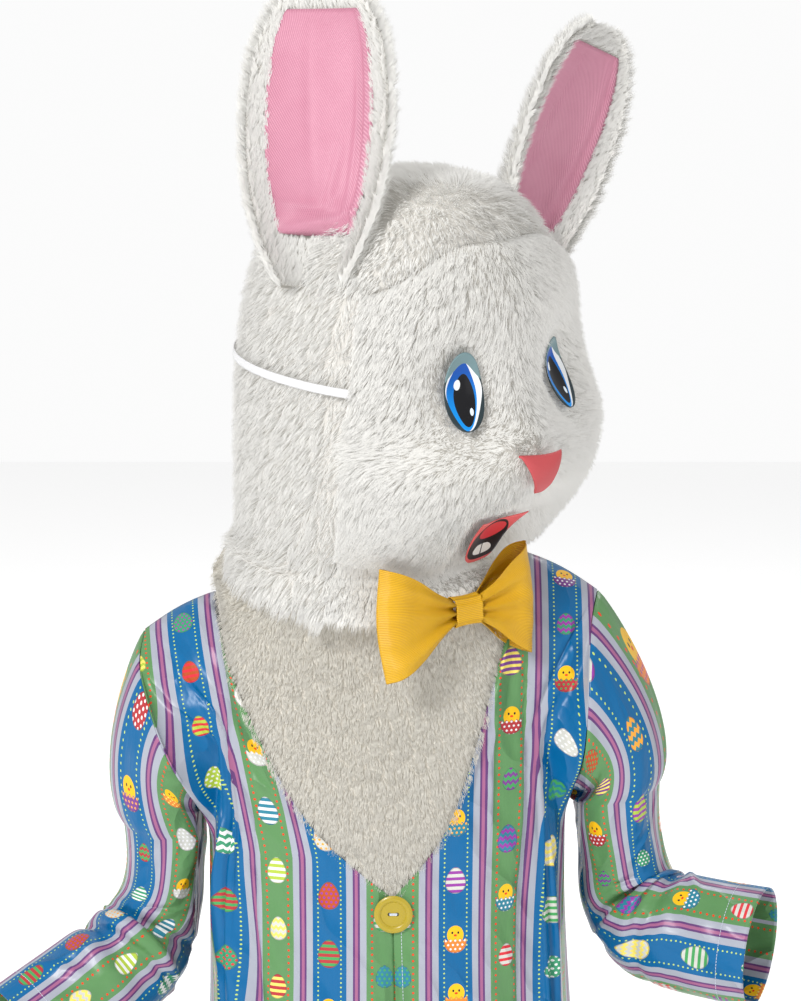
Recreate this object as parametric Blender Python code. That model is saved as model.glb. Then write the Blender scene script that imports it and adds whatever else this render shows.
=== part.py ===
"""Easter bunny costume, as worn: a plush rabbit mask with ears, a fur bib, a bow tie and a striped jacket.

Metres, +Z up, front towards -Y, the wearer's left at +X. The origin is the middle of the jacket's
neck opening, at the height where the shoulders carry it.
"""

import math

import bmesh
import bpy
import numpy as np
from mathutils import Vector
from mathutils.bvhtree import BVHTree

# Seams and cloth
SEAM_GAP = 0.0004
SEAM_THIN = 0.3
SLEEVE_SEAM = {"sleeve_left": 0.0012, "sleeve_right": 0.0022}
CHIN_SEAM = 0.003
SEAT_GAP = 0.0006
CLOTH = 0.0016
LINING = 0.0016
HOOD_PILE = 0.012
BIB_PILE = 0.010
TURNED_PILE = 0.0028

# Jacket: heights that matter, and the ring's roundness, 2 being an ellipse
RING_POWER = 2.3
HEM_Z = -0.750
CHEST_Z = -0.170
LOWER_ROWS = 9
UPPER_ROWS = 7
NECK_COLUMNS = 6
SHOULDER_COLUMNS = 3
ARM_COLUMNS = 8
BACK_NECK_COLUMNS = 6
ARM_CROWDING = 0.45
CHEST_TIP_ANGLE = math.radians(54)
CLOSURE_X = 0.0225
UNDERLAP = 0.013
UNDERLAP_DROP = 0.0032
TILT = 0.020

# height, middle x, half width, front depth, back depth
TORSO = (
    (-0.750, 0.024, 0.205, 0.150, 0.140),
    (-0.600, 0.022, 0.196, 0.147, 0.134),
    (-0.450, 0.019, 0.184, 0.143, 0.127),
    (-0.330, 0.016, 0.180, 0.139, 0.122),
    (-0.230, 0.015, 0.180, 0.134, 0.121),
    (-0.170, 0.010, 0.181, 0.127, 0.119),
    (-0.100, 0.004, 0.184, 0.108, 0.108),
)

# half width, front y, height: the V of the neckline, from its point to the neck end of the shoulder
NECKLINE = (
    (0.000, -0.1385, -0.299),
    (0.040, -0.136, -0.261),
    (0.068, -0.132, -0.226),
    (0.096, -0.122, -0.171),
    (0.122, -0.099, -0.103),
    (0.138, -0.070, -0.057),
    (0.156, 0.005, -0.001),
)
# height, how far the V's middle stands off x 0
V_MIDDLE = (
    (-0.310, 0.0265),
    (-0.299, 0.0225),
    (-0.261, 0.015),
    (-0.226, 0.009),
    (-0.171, 0.003),
    (-0.057, -0.003),
    (0.020, 0.000),
)
# x, y, height without the tilt: back neckline from the wearer's left
BACK_NECK = (
    (0.156, 0.005, -0.001),
    (0.120, 0.040, 0.004),
    (0.060, 0.062, -0.002),
    (0.000, 0.068, -0.004),
    (-0.060, 0.062, -0.002),
    (-0.120, 0.040, 0.004),
    (-0.156, 0.005, -0.001),
)
SHOULDER_TIP = (0.227, 0.008, -0.040)
# x, y, height: the sleeve seam from the shoulder tip to the underarm
ARMHOLE_LEFT_FRONT = (
    (0.227, 0.008, -0.020),
    (0.220, -0.028, -0.040),
    (0.215, -0.062, -0.078),
    (0.213, -0.086, -0.122),
    (0.210, -0.084, -0.166),
    (0.202, -0.048, -0.205),
    (0.196, 0.000, -0.222),
)
ARMHOLE_LEFT_BACK = (
    (0.227, 0.008, -0.020),
    (0.216, 0.045, -0.045),
    (0.207, 0.074, -0.088),
    (0.203, 0.084, -0.135),
    (0.200, 0.070, -0.183),
    (0.197, 0.036, -0.212),
    (0.196, 0.000, -0.222),
)
ARMHOLE_RIGHT_FRONT = (
    (-0.227, 0.008, -0.060),
    (-0.230, -0.026, -0.084),
    (-0.219, -0.066, -0.120),
    (-0.206, -0.088, -0.152),
    (-0.190, -0.090, -0.186),
    (-0.174, -0.056, -0.218),
    (-0.165, 0.000, -0.234),
)
ARMHOLE_RIGHT_BACK = (
    (-0.227, 0.008, -0.060),
    (-0.222, 0.045, -0.078),
    (-0.207, 0.076, -0.112),
    (-0.192, 0.086, -0.152),
    (-0.178, 0.070, -0.196),
    (-0.169, 0.036, -0.225),
    (-0.165, 0.000, -0.234),
)

# x, y, height of the sleeve's middle line
SLEEVE_LEFT = (
    (0.2410, 0.004, -0.185),
    (0.2450, 0.010, -0.235),
    (0.2545, 0.018, -0.290),
    (0.2610, 0.016, -0.338),
    (0.2830, -0.002, -0.362),
    (0.3230, -0.024, -0.368),
    (0.3900, -0.052, -0.374),
)
SLEEVE_RIGHT = (
    (-0.2050, 0.002, -0.195),
    (-0.2020, 0.006, -0.245),
    (-0.2050, 0.012, -0.300),
    (-0.2130, 0.010, -0.350),
    (-0.2330, -0.006, -0.385),
    (-0.2660, -0.026, -0.410),
    (-0.3450, -0.068, -0.462),
)
# share of the length, radius towards the outside, radius towards the front
SLEEVE_GIRTH = (
    (0.00, 0.066, 0.070),
    (0.18, 0.053, 0.064),
    (0.45, 0.044, 0.061),
    (0.60, 0.052, 0.060),
    (0.72, 0.056, 0.060),
    (0.88, 0.059, 0.060),
    (1.00, 0.060, 0.061),
)
SLEEVE_ROWS = 25
SLEEVE_EASE_IN = 0.24
SIDE_ROOM = 0.0035
ARMPIT_ROOM = 0.010

# angle from the top round the front in degrees, share of the length, half width across in degrees,
# half length as a share, height out of the cloth, slant in degrees for each share
SLEEVE_FOLDS_LEFT = (
    (150, 0.24, 16, 0.13, -0.007, 160),
    (115, 0.32, 14, 0.12, 0.005, 140),
    (60, 0.36, 14, 0.14, 0.004, -120),
    (95, 0.610, 60, 0.032, -0.010, 60),
    (95, 0.670, 50, 0.030, 0.006, 80),
    (100, 0.730, 60, 0.030, -0.007, -40),
    (250, 0.68, 40, 0.050, 0.005, 40),
    (200, 0.86, 20, 0.10, 0.003, 60),
)
SLEEVE_FOLDS_RIGHT = (
    (165, 0.22, 16, 0.12, -0.007, -140),
    (120, 0.32, 16, 0.12, 0.005, -160),
    (70, 0.38, 14, 0.12, -0.004, 120),
    (90, 0.580, 60, 0.032, -0.010, -60),
    (85, 0.640, 50, 0.030, 0.006, -40),
    (80, 0.700, 60, 0.030, -0.008, 40),
    (100, 0.760, 40, 0.032, 0.005, 80),
    (250, 0.66, 40, 0.050, 0.005, -40),
)
# angle from the front in degrees, top height, foot height, half width in degrees, height out,
# drift in degrees
BODY_FOLDS = (
    (-62, -0.20, -0.46, 7.0, 0.013, 12),
    (-50, -0.26, -0.60, 6.0, -0.008, 14),
    (-36, -0.34, -0.72, 5.0, 0.006, 8),
    (30, -0.40, -0.73, 5.0, 0.005, -4),
    (50, -0.20, -0.55, 6.0, -0.006, -6),
    (62, -0.22, -0.62, 6.0, 0.009, -4),
    (80, -0.30, -0.70, 6.0, -0.005, 0),
    (-80, -0.34, -0.72, 6.0, -0.006, 4),
    (112, -0.24, -0.60, 7.0, 0.007, 8),
    (135, -0.36, -0.73, 7.0, -0.006, 4),
    (158, -0.20, -0.52, 8.0, 0.005, 6),
    (180, -0.40, -0.74, 8.0, 0.006, 0),
    (205, -0.22, -0.58, 8.0, 0.005, -6),
    (228, -0.38, -0.73, 7.0, -0.006, -4),
    (250, -0.24, -0.60, 7.0, 0.007, -8),
)

# Mask: how the head is turned in the collar, and its middle
HEAD_YAW = math.radians(46)
HEAD_PITCH = math.radians(6)
HEAD_ROLL = math.radians(3.5)
HEAD_CENTRE = np.array((0.038, -0.037, 0.230))
HEAD_POWER = 2.15
# height in the head, middle forward, half width, front depth, back depth
HEAD_ROWS = (
    (0.180, 0.010, 0.000, 0.000, 0.000),
    (0.175, 0.010, 0.048, 0.044, 0.050),
    (0.160, 0.008, 0.090, 0.084, 0.098),
    (0.133, 0.004, 0.120, 0.114, 0.131),
    (0.094, 0.000, 0.141, 0.134, 0.157),
    (0.045, 0.000, 0.151, 0.142, 0.172),
    (-0.010, 0.000, 0.156, 0.143, 0.178),
    (-0.065, 0.000, 0.158, 0.144, 0.179),
    (-0.115, 0.000, 0.157, 0.136, 0.178),
    (-0.160, -0.004, 0.153, 0.122, 0.175),
    (-0.192, -0.008, 0.150, 0.112, 0.172),
)
# share of the way down to the rim, middle forward, half width, front depth, back depth, in a level frame
SKIRT_ROWS = (
    (0.33, 0.009, 0.147, 0.126, 0.154),
    (0.67, 0.004, 0.147, 0.140, 0.147),
    (1.00, 0.000, 0.149, 0.150, 0.141),
)
RIM_FRONT = -0.022
RIM_RISE = 0.047
RIM_LEAN = 0.25
SKIRT_LEAST = 0.018
# left, forward, up in the head, spread across, spread up, height out of the face
FACE_FORMS = (
    (0.104, 0.112, -0.062, 0.044, 0.046, 0.024),
    (-0.108, 0.112, -0.092, 0.050, 0.056, 0.026),
    (0.000, 0.146, -0.074, 0.040, 0.032, 0.020),
    (0.034, 0.138, -0.100, 0.030, 0.024, 0.010),
    (-0.034, 0.138, -0.100, 0.030, 0.024, 0.010),
    (0.060, 0.130, 0.006, 0.026, 0.034, -0.016),
    (-0.060, 0.130, 0.006, 0.026, 0.034, -0.014),
    (-0.008, 0.128, -0.148, 0.026, 0.026, -0.012),
    (0.000, 0.128, 0.075, 0.080, 0.040, 0.008),
    (0.000, 0.120, -0.172, 0.030, 0.024, -0.008),
)
FACE_SEAM_ANGLE = math.radians(64)
CROWN_ROWS = 5
WINDOW_ROWS = 16
SKIRT_GRID_ROWS = 4
FACE_COLUMNS = 20
HOOD_COLUMNS = 15
FACE_TOP = 3.1
FACE_FOOT = 10.15
FACE_TOP_DROP = 1.2
FACE_FOOT_LIFT = 0.7
FACE_STAND = 0.006

# Ears: share of the ear's length, half width, how far the rims curl forward, thickness
EAR_SECTIONS = (
    (0.00, 0.016, 0.020, 0.014),
    (0.10, 0.034, 0.030, 0.016),
    (0.28, 0.056, 0.028, 0.015),
    (0.50, 0.068, 0.022, 0.014),
    (0.70, 0.067, 0.016, 0.013),
    (0.84, 0.058, 0.011, 0.012),
    (0.94, 0.041, 0.007, 0.011),
    (1.00, 0.018, 0.003, 0.009),
)
# foot, tip, and the way the lining faces, for the ear on the wearer's right and left
EAR_RIGHT = ((-0.048, -0.142, 0.280), (-0.042, -0.096, 0.581), (-0.26, -0.96, 0.00))
EAR_LEFT = ((0.124, 0.050, 0.290), (0.229, 0.060, 0.538), (0.74, -0.67, -0.10))
EAR_FOOT_THICK = 0.007
EAR_SEAT = 0.0018
EAR_START = 0.06
EAR_ROWS = 12
EAR_COLUMNS = 10
LINING_FOOT_ROW = 3

# Features: row and angle of the middle, half sizes in rows and in radians, thickness
EYE_RIGHT = (5.98, -0.41, 0.74, 0.165, 0.0020)
EYE_LEFT = (5.98, 0.37, 0.70, 0.140, 0.0020)
NOSE = (7.40, -0.045, 0.27, 0.115, 0.0060)
MOUTH = (9.12, -0.06, 0.78, 0.20, 0.0020)
STRAP_ROW = 6.05
STRAP_HALF = 0.075
STRAP_THICK = 0.0018
PLATE_SEAT = 0.0010

# Bow tie
BOW_ANGLE = -0.17
BOW_ROW = 12.9
BOW_DROP = 0.012
BOW_YAW = math.radians(34)
BOW_SLOPE = 0.07
BOW_STAND = 0.0108
LOOP_SEAT = 0.0026
BOW_RIBBON = 0.0020
BOW_ROWS = 12
BOW_COLUMNS = 12
KNOT_HALF = (0.017, 0.0150, 0.0105)
LOOP_LONG = {1: 0.066, -1: 0.086}
# share of the loop's length, half height, half depth
LOOP_SECTIONS = (
    (0.00, 0.0125, 0.0055),
    (0.25, 0.0230, 0.0100),
    (0.55, 0.0400, 0.0125),
    (0.85, 0.0520, 0.0110),
    (1.00, 0.0560, 0.0030),
)
LOOP_PLEATS = 3
PLEAT_DEPTH = 0.0034

# Bib
BIB_ROWS = 12
BIB_COLUMNS = 14
BIB_BULGE = 0.018
BIB_TOP_FRONT = -0.124
BIB_TOP_HEIGHT = -0.015
BIB_NECK = 0.139
BIB_RIM_ROOM = 0.003
BIB_END_RISE = 0.026
BIB_FAR_DROP = 0.004
BIB_SEAM = 0.0022
BIB_EDGE = 0.003

# Buttons
BUTTON_HEIGHTS = (-0.314, -0.464, -0.614)
BUTTON_RADIUS = 0.0188
# radius, height of the button's outline, from the middle of its face to the middle of its back
BUTTON_PROFILE = (
    (0.0000, 0.0026),
    (0.0120, 0.0026),
    (0.0135, 0.0044),
    (0.0165, 0.0048),
    (0.0188, 0.0030),
    (0.0180, 0.0006),
    (0.0150, 0.0000),
    (0.0000, 0.0000),
)
BUTTON_SEGMENTS = 18
HOLE_RADIUS = 0.0019
HOLE_APART = 0.0075


def through(table, at):
    """The other columns of a table at a value of its first one, on a smooth curve through its rows."""
    rows = np.asarray(table, float)
    if rows[0, 0] > rows[-1, 0]:
        rows = rows[::-1]
    key, value = rows[:, 0], rows[:, 1:]
    slope = np.gradient(value, key, axis=0)
    at = min(max(at, key[0]), key[-1])
    i = min(int(np.searchsorted(key, at, side="right")) - 1, len(key) - 2)
    step = key[i + 1] - key[i]
    t = (at - key[i]) / step
    return (
        (1 + 2 * t) * (1 - t) ** 2 * value[i]
        + t * (1 - t) ** 2 * step * slope[i]
        + t * t * (3 - 2 * t) * value[i + 1]
        + t * t * (t - 1) * step * slope[i + 1]
    )


def along(points, count):
    """Evenly spaced points on the smooth curve through some points."""
    points = np.asarray(points, float)
    steps = np.linalg.norm(np.diff(points, axis=0), axis=1)
    table = np.column_stack([np.concatenate([[0], np.cumsum(steps)]), points])
    return np.array([through(table, s) for s in np.linspace(0, table[-1, 0], count)])


def ease(value, low, high):
    """0 below low, 1 above high, and a smooth step between."""
    t = min(max((value - low) / (high - low), 0.0), 1.0)
    return t * t * (3 - 2 * t)


def unit(vectors):
    """Vectors made one long."""
    vectors = np.asarray(vectors, float)
    return vectors / np.maximum(np.linalg.norm(vectors, axis=-1, keepdims=True), 1e-12)


def rounded(value, power):
    """A sine or cosine bent towards a rounded square's."""
    return math.copysign(abs(value) ** (2 / power), value)


def normals_of(grid, around=False):
    """The outward direction at each point of a grid of rows and columns, before it is turned outwards."""
    if around:
        across = np.roll(grid, -1, axis=1) - np.roll(grid, 1, axis=1)
    else:
        across = np.gradient(grid, axis=1)
    return unit(np.cross(across, np.gradient(grid, axis=0)))


def outward(grid, normals, middle):
    """Normals turned away from a point, or from a line of points, one for each row."""
    away = grid - np.asarray(middle)
    if (away * normals).sum() < 0:
        return -normals
    return normals


def material(name, colour, roughness, sheen=0.0):
    """A plain cloth or plastic finish."""
    made = bpy.data.materials.new(name)
    made.use_nodes = True
    shader = made.node_tree.nodes["Principled BSDF"]
    shader.inputs["Base Color"].default_value = (*colour, 1)
    shader.inputs["Roughness"].default_value = roughness
    shader.inputs["Sheen Weight"].default_value = sheen
    return made


def finish_mesh(name, bm, finish, smooth_angle=40):
    """A closed mesh as a named object of the costume, its faces pointing out."""
    bmesh.ops.remove_doubles(bm, verts=bm.verts, dist=1e-6)
    bmesh.ops.dissolve_degenerate(bm, edges=bm.edges, dist=1e-7)
    if bm.calc_volume(signed=True) < 0:
        bmesh.ops.reverse_faces(bm, faces=bm.faces)
    mesh = bpy.data.meshes.new(name)
    bm.to_mesh(mesh)
    bm.free()
    mesh.materials.append(finish)
    mesh.shade_smooth()
    mesh.set_sharp_from_angle(angle=math.radians(smooth_angle))
    made = bpy.data.objects.new(name, mesh)
    COSTUME.objects.link(made)
    return made


def wall(name, outer, inner, finish, around=False, kept=None):
    """A cloth wall between two matching grids of points, closed by a rim wherever the cloth ends."""
    rows, columns = outer.shape[:2]
    cells = columns if around else columns - 1
    bm = bmesh.new()
    layers = [[[bm.verts.new(p) for p in row] for row in grid] for grid in (outer, inner)]
    edges = {}
    for i in range(rows - 1):
        for j in range(cells):
            if kept is not None and not kept[i][j]:
                continue
            k = (j + 1) % columns
            corners = ((i, j), (i, k), (i + 1, k), (i + 1, j))
            for loop in ((0, 1, 2), (0, 2, 3)):
                out = [layers[0][corners[c][0]][corners[c][1]] for c in loop]
                back = [layers[1][corners[c][0]][corners[c][1]] for c in reversed(loop)]
                bm.faces.new(out)
                bm.faces.new(back)
            for c in range(4):
                edges[corners[c], corners[(c + 1) % 4]] = True
    for a, b in edges:
        if (b, a) not in edges:
            ring = [layers[0][b[0]][b[1]], layers[0][a[0]][a[1]]]
            ring += [layers[1][a[0]][a[1]], layers[1][b[0]][b[1]]]
            bm.faces.new((ring[0], ring[1], ring[2]))
            bm.faces.new((ring[0], ring[2], ring[3]))
    return finish_mesh(name, bm, finish)


# The jacket's body

def torso_point(height, angle):
    """A point of the body's ring at a height. The angle is 0 in front and grows to the wearer's left."""
    middle, half, front, back = through(TORSO, height)
    side, face = math.sin(angle), math.cos(angle)
    depth = front if face > 0 else back
    bulge = body_fold(height, math.degrees(angle) % 360)
    x = middle + (half + bulge) * rounded(side, RING_POWER)
    y = -(depth + bulge) * rounded(face, RING_POWER)
    return np.array((x, y, height))


def body_fold(height, degrees):
    """How far the long hanging folds stand out of the body's cloth."""
    total = 0.0
    for at, top, foot, width, rise, drift in BODY_FOLDS:
        share = (top - height) / (top - foot)
        if share <= 0:
            continue
        off = (degrees - (at + drift * share) + 180) % 360 - 180
        swell = ease(share, 0.0, 0.35) * (1 - 0.45 * ease(share, 0.8, 1.3))
        total += rise * swell * math.exp(-((off / width) ** 2))
    seam = min(abs(degrees - 90), abs(degrees - 270))
    front = abs((degrees + 180) % 360 - 180)
    return total * ease(seam, 1.5, 9.0) * ease(front, 10.0, 20.0)


def neckline_point(side, share):
    """A point of the V neckline, from its tip at share 0 to the neck end of the shoulder at 1."""
    table = [(i / (len(NECKLINE) - 1), *row) for i, row in enumerate(NECKLINE)]
    half, y, height = through(table, share)
    x = side * half + through(V_MIDDLE, height)[0]
    return np.array((x, y, height + side * TILT * ease(share, 0.3, 1.0)))


def shoulder_point(side, share):
    """A point of the shoulder seam, from the neck to the tip."""
    neck = neckline_point(side, 1.0)
    tip = np.array((side * SHOULDER_TIP[0], SHOULDER_TIP[1], SHOULDER_TIP[2] + side * TILT))
    rise = 0.004 * math.sin(math.pi * share)
    return neck + (tip - neck) * share + np.array((0, 0, rise))


def ring_angle(x, height):
    """The ring angle at which the front of the body passes through x."""
    middle, half = through(TORSO, height)[:2]
    share = min(max((x - middle) / half, -1.0), 1.0)
    return math.asin(math.copysign(abs(share) ** (RING_POWER / 2), share))


def column(angle, top, arrive):
    """A line of points from the hem up the body to a point of the upper edge."""
    turn = min(CHEST_Z, top[2] - 0.045)
    lower = [torso_point(z, angle) for z in np.linspace(HEM_Z, turn, LOWER_ROWS + 1)]
    start = lower[-1]
    reach = np.linalg.norm(top - start)
    leave = unit(lower[-1] - torso_point(turn - 0.02, angle)) * reach
    arrive = unit(arrive) * reach
    upper = []
    for t in np.linspace(0, 1, UPPER_ROWS + 1)[1:]:
        upper.append(
            (1 + 2 * t) * (1 - t) ** 2 * start
            + t * (1 - t) ** 2 * leave
            + t * t * (3 - 2 * t) * top
            + t * t * (t - 1) * arrive
        )
    return np.array(lower + upper)


def front_grid(side, armhole):
    """Rows and columns of one front's cloth, from the closing edge to the side seam."""
    columns = []
    start = CHEST_TIP_ANGLE
    chest_tip = abs(torso_point(CHEST_Z, side * start)[0])
    for share in np.linspace(0, 1, NECK_COLUMNS + 1)[:-1]:
        top = neckline_point(side, share)
        height = max(HEM_Z, min(CHEST_Z, top[2]))
        x = CLOSURE_X + (top[0] - CLOSURE_X) * (1 - 0.14 * ease(share, 0.3, 1.0))
        back = ease(share, 0.45, 1.0)
        columns.append(column(ring_angle(x, height), top, (0, back, 1 - 0.7 * back)))
    neck_x = abs(neckline_point(side, 1.0)[0]) * 0.86
    for share in np.linspace(0, 1, SHOULDER_COLUMNS + 1)[:-1]:
        x = side * (neck_x + (chest_tip - neck_x) * share)
        columns.append(column(ring_angle(x, CHEST_Z), shoulder_point(side, share), (0, 1, 0.2)))
    for share, top in zip(np.linspace(0, 1, ARM_COLUMNS + 1), along(armhole, ARM_COLUMNS + 1)):
        angle = side * (math.pi / 2 - (math.pi / 2 - start) * (1 - share) ** ARM_CROWDING)
        back = 1 - ease(share, 0.0, 0.35)
        columns.append(column(angle, top, (side * 0.25 * (1 - share), back, 1 - 0.8 * back)))
    return np.array(columns).transpose(1, 0, 2)


def back_grid(armhole_left, armhole_right):
    """Rows and columns of the back's cloth, from the wearer's left side seam to the right one."""
    columns = []
    tip = math.radians(128)
    neck = math.radians(146)
    for share, top in zip(np.linspace(0, 1, ARM_COLUMNS + 1), along(armhole_left, ARM_COLUMNS + 1)[::-1]):
        back = ease(share, 0.65, 1.0)
        angle = math.pi / 2 + (tip - math.pi / 2) * share ** ARM_CROWDING
        columns.append(column(angle, top, (0.1, -back, 1 - 0.8 * back)))
    for share in np.linspace(0, 1, SHOULDER_COLUMNS + 1)[1:]:
        angle = tip + (neck - tip) * share
        columns.append(column(angle, shoulder_point(1, 1 - share), (0, -1, 0.2)))
    tilted = [(x, y, z + TILT * x / BACK_NECK[0][0]) for x, y, z in BACK_NECK]
    neckline = along(tilted, BACK_NECK_COLUMNS + 1)
    for share, top in list(zip(np.linspace(0, 1, BACK_NECK_COLUMNS + 1), neckline))[1:]:
        columns.append(column(neck + (2 * math.pi - 2 * neck) * share, top, (0, -0.7, 0.7)))
    for share in np.linspace(0, 1, SHOULDER_COLUMNS + 1)[1:]:
        angle = 2 * math.pi - neck + (neck - tip) * share
        columns.append(column(angle, shoulder_point(-1, share), (0, -1, 0.2)))
    tops = along(armhole_right, ARM_COLUMNS + 1)
    for share, top in list(zip(np.linspace(0, 1, ARM_COLUMNS + 1), tops))[1:]:
        back = 1 - ease(share, 0.0, 0.35)
        angle = 3 * math.pi / 2 - (tip - math.pi / 2) * (1 - share) ** ARM_CROWDING
        columns.append(column(angle, top, (-0.1, -back, 1 - 0.8 * back)))
    return np.array(columns).transpose(1, 0, 2)


# The sleeves

def sleeve_fold(folds, degrees, share):
    """How far the sleeve's folds stand out of its cloth."""
    total = 0.0
    for at, place, width, length, rise, slant in folds:
        off = (degrees - (at + slant * (share - place)) + 180) % 360 - 180
        total += rise * math.exp(-((off / width) ** 2) - ((share - place) / length) ** 2)
    return total * ease(share, 0.04, 0.14) * (1 - ease(share, 0.95, 1.0))


def sleeve_grid(side, armhole, path, folds):
    """Rings of one sleeve's cloth, from the armhole's own points to the wrist, with their middles."""
    start = armhole.mean(axis=0)
    middles = along([start, *path], SLEEVE_ROWS + 1)
    for _ in range(4):
        middles[1:-1] = (middles[:-2] + 2 * middles[1:-1] + middles[2:]) / 4
    ways = unit(np.gradient(middles, axis=0))
    count = len(armhole)
    rings = []
    for k, (middle, way) in enumerate(zip(middles, ways)):
        share = k / SLEEVE_ROWS
        girth_out, girth_front = through(SLEEVE_GIRTH, share)
        out = unit(np.array((side, 0, 0)) - way * way[0] * side)
        front = np.cross(way, out) * side
        ring = []
        for j in range(count):
            turn = 2 * math.pi * j / count
            reach = SLEEVE_EASE_IN * (1 + 0.25 * (1 - math.cos(turn)))
            settle = math.sin(math.pi / 2 * min(share / reach, 1.0))
            bulge = sleeve_fold(folds, math.degrees(turn), share)
            round_point = middle + out * (girth_out + bulge) * math.cos(turn)
            round_point = round_point + front * (girth_front + bulge) * math.sin(turn)
            seam_point = armhole[j] + (middle - start)
            point = seam_point + (round_point - seam_point) * settle
            room = ARMPIT_ROOM * math.sin(math.pi * min(share / 0.26, 1.0)) ** 0.6 if share < 0.26 else 0.0
            ring.append(point + np.array((side * room, 0, 0)))
        rings.append(ring)
    return np.array(rings), middles


# The mask

def head_axes():
    """The head's own left, forward and up."""
    left = np.array((math.cos(HEAD_YAW), math.sin(HEAD_YAW), 0))
    forward = np.array((math.sin(HEAD_YAW), -math.cos(HEAD_YAW), 0))
    up = np.array((0, 0, 1.0))
    tipped = forward * math.cos(HEAD_PITCH) - up * math.sin(HEAD_PITCH)
    up = up * math.cos(HEAD_PITCH) + forward * math.sin(HEAD_PITCH)
    rolled = left * math.cos(HEAD_ROLL) + up * math.sin(HEAD_ROLL)
    return rolled, tipped, up * math.cos(HEAD_ROLL) - left * math.sin(HEAD_ROLL)


LEFT, FORWARD, UP = head_axes()
LEVEL_LEFT = np.array((math.cos(HEAD_YAW), math.sin(HEAD_YAW), 0))
LEVEL_FORWARD = np.array((math.sin(HEAD_YAW), -math.cos(HEAD_YAW), 0))


def from_head(left, forward, up):
    """A point given in the head's own directions."""
    return HEAD_CENTRE + LEFT * left + FORWARD * forward + UP * up


def mask_ring(row, angle):
    """A point on one of the mask's rings, the angle growing from the face to the wearer's left."""
    side, face = rounded(math.sin(angle), HEAD_POWER), rounded(math.cos(angle), HEAD_POWER)
    if row < len(HEAD_ROWS):
        up, middle, half, front, back = HEAD_ROWS[row]
        return from_head(half * side, middle + (front if face > 0 else back) * face, up)
    share, middle, half, front, back = SKIRT_ROWS[row - len(HEAD_ROWS)]
    point = LEVEL_LEFT * half * side + LEVEL_FORWARD * (middle + (front if face > 0 else back) * face)
    start = mask_ring(len(HEAD_ROWS) - 1, angle)[2]
    rim = min(rim_height(point[0]), start - SKIRT_LEAST)
    return point + np.array((0, 0, start + (rim - start) * share))


def rim_height(x):
    """How high the mask's rim hangs at a place across the collar."""
    across = x / SKIRT_ROWS[-1][2]
    return RIM_FRONT + RIM_RISE * across * across * (1 + RIM_LEAN * across)


def face_form(point):
    """How far cheeks, muzzle, brow and chin stand out of the plain head at a point."""
    local = point - HEAD_CENTRE
    at = np.array((local @ LEFT, local @ FORWARD, local @ UP))
    total = 0.0
    for left, forward, up, wide, tall, rise in FACE_FORMS:
        across = math.hypot(at[0] - left, at[1] - forward)
        total += rise * math.exp(-((across / wide) ** 2) / 2 - ((at[2] - up) / tall) ** 2 / 2)
    return total


MASK_RINGS = len(HEAD_ROWS) + len(SKIRT_ROWS)


def mask_point(row, angle):
    """A point of the mask's fur surface. The row runs from 0 at the crown to the rim."""
    table = [(i, *mask_ring(i, angle)) for i in range(MASK_RINGS)]
    point = through(table, row)
    away = unit(LEFT * math.sin(angle) + FORWARD * math.cos(angle))
    return point + away * face_form(point)


def mask_normal(row, angle, step=0.02):
    """The outward direction of the mask's surface."""
    low, high = max(row - step, 0.0), min(row + step, MASK_RINGS - 1.0)
    if row < step:
        return UP
    down = mask_point(high, angle) - mask_point(low, angle)
    round_it = mask_point(row, angle + step) - mask_point(row, angle - step)
    return unit(np.cross(down, round_it))


def seam_row(band, angle):
    """The mask's row for a band: 0 to 1 over the crown, to 2 down the face and to 3 down the skirt."""
    turn = abs((angle + math.pi) % (2 * math.pi) - math.pi) / FACE_SEAM_ANGLE
    edge = ease(turn, 0.25, 1.05)
    top = FACE_TOP + FACE_TOP_DROP * edge
    foot = FACE_FOOT - FACE_FOOT_LIFT * edge
    return float(np.interp(band, (0, 1, 2, 3), (0, top, foot, MASK_RINGS - 1)))


def mask_grid(bands, angles):
    """Outer points of the mask and their normals, for some bands and angles."""
    grid = np.array([[mask_point(seam_row(b, a), a) for a in angles] for b in bands])
    normals = np.array([[mask_normal(seam_row(b, a), a) for a in angles] for b in bands])
    return grid, normals


def mask_depth(normals, bands, full):
    """The mask's cloth with its pile, as a step in from each point, thinner under the chin."""
    depth = [full + (TURNED_PILE - full) * ease(band, 1.6, 1.95) for band in bands]
    return normals * np.array(depth)[:, None, None]


def face_patch(row, angle, tall, wide, rows, columns):
    """Points and normals of a patch of the mask."""
    places = [
        [(r, a) for a in np.linspace(angle - wide, angle + wide, columns + 1)]
        for r in np.linspace(row - tall, row + tall, rows + 1)
    ]
    grid = np.array([[mask_point(r, a) for r, a in line] for line in places])
    return grid, np.array([[mask_normal(r, a) for r, a in line] for line in places])


def inset(grid, gap, left=True, right=True, top=True, foot=True):
    """Draws chosen edges of a grid back by a gap, to leave room at the seams."""
    if left:
        grid[:, 0] += unit(grid[:, 1] - grid[:, 0]) * gap
    if right:
        grid[:, -1] += unit(grid[:, -2] - grid[:, -1]) * gap
    if top:
        grid[-1] += unit(grid[-2] - grid[-1]) * gap
    if foot:
        grid[0] += unit(grid[1] - grid[0]) * gap


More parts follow.
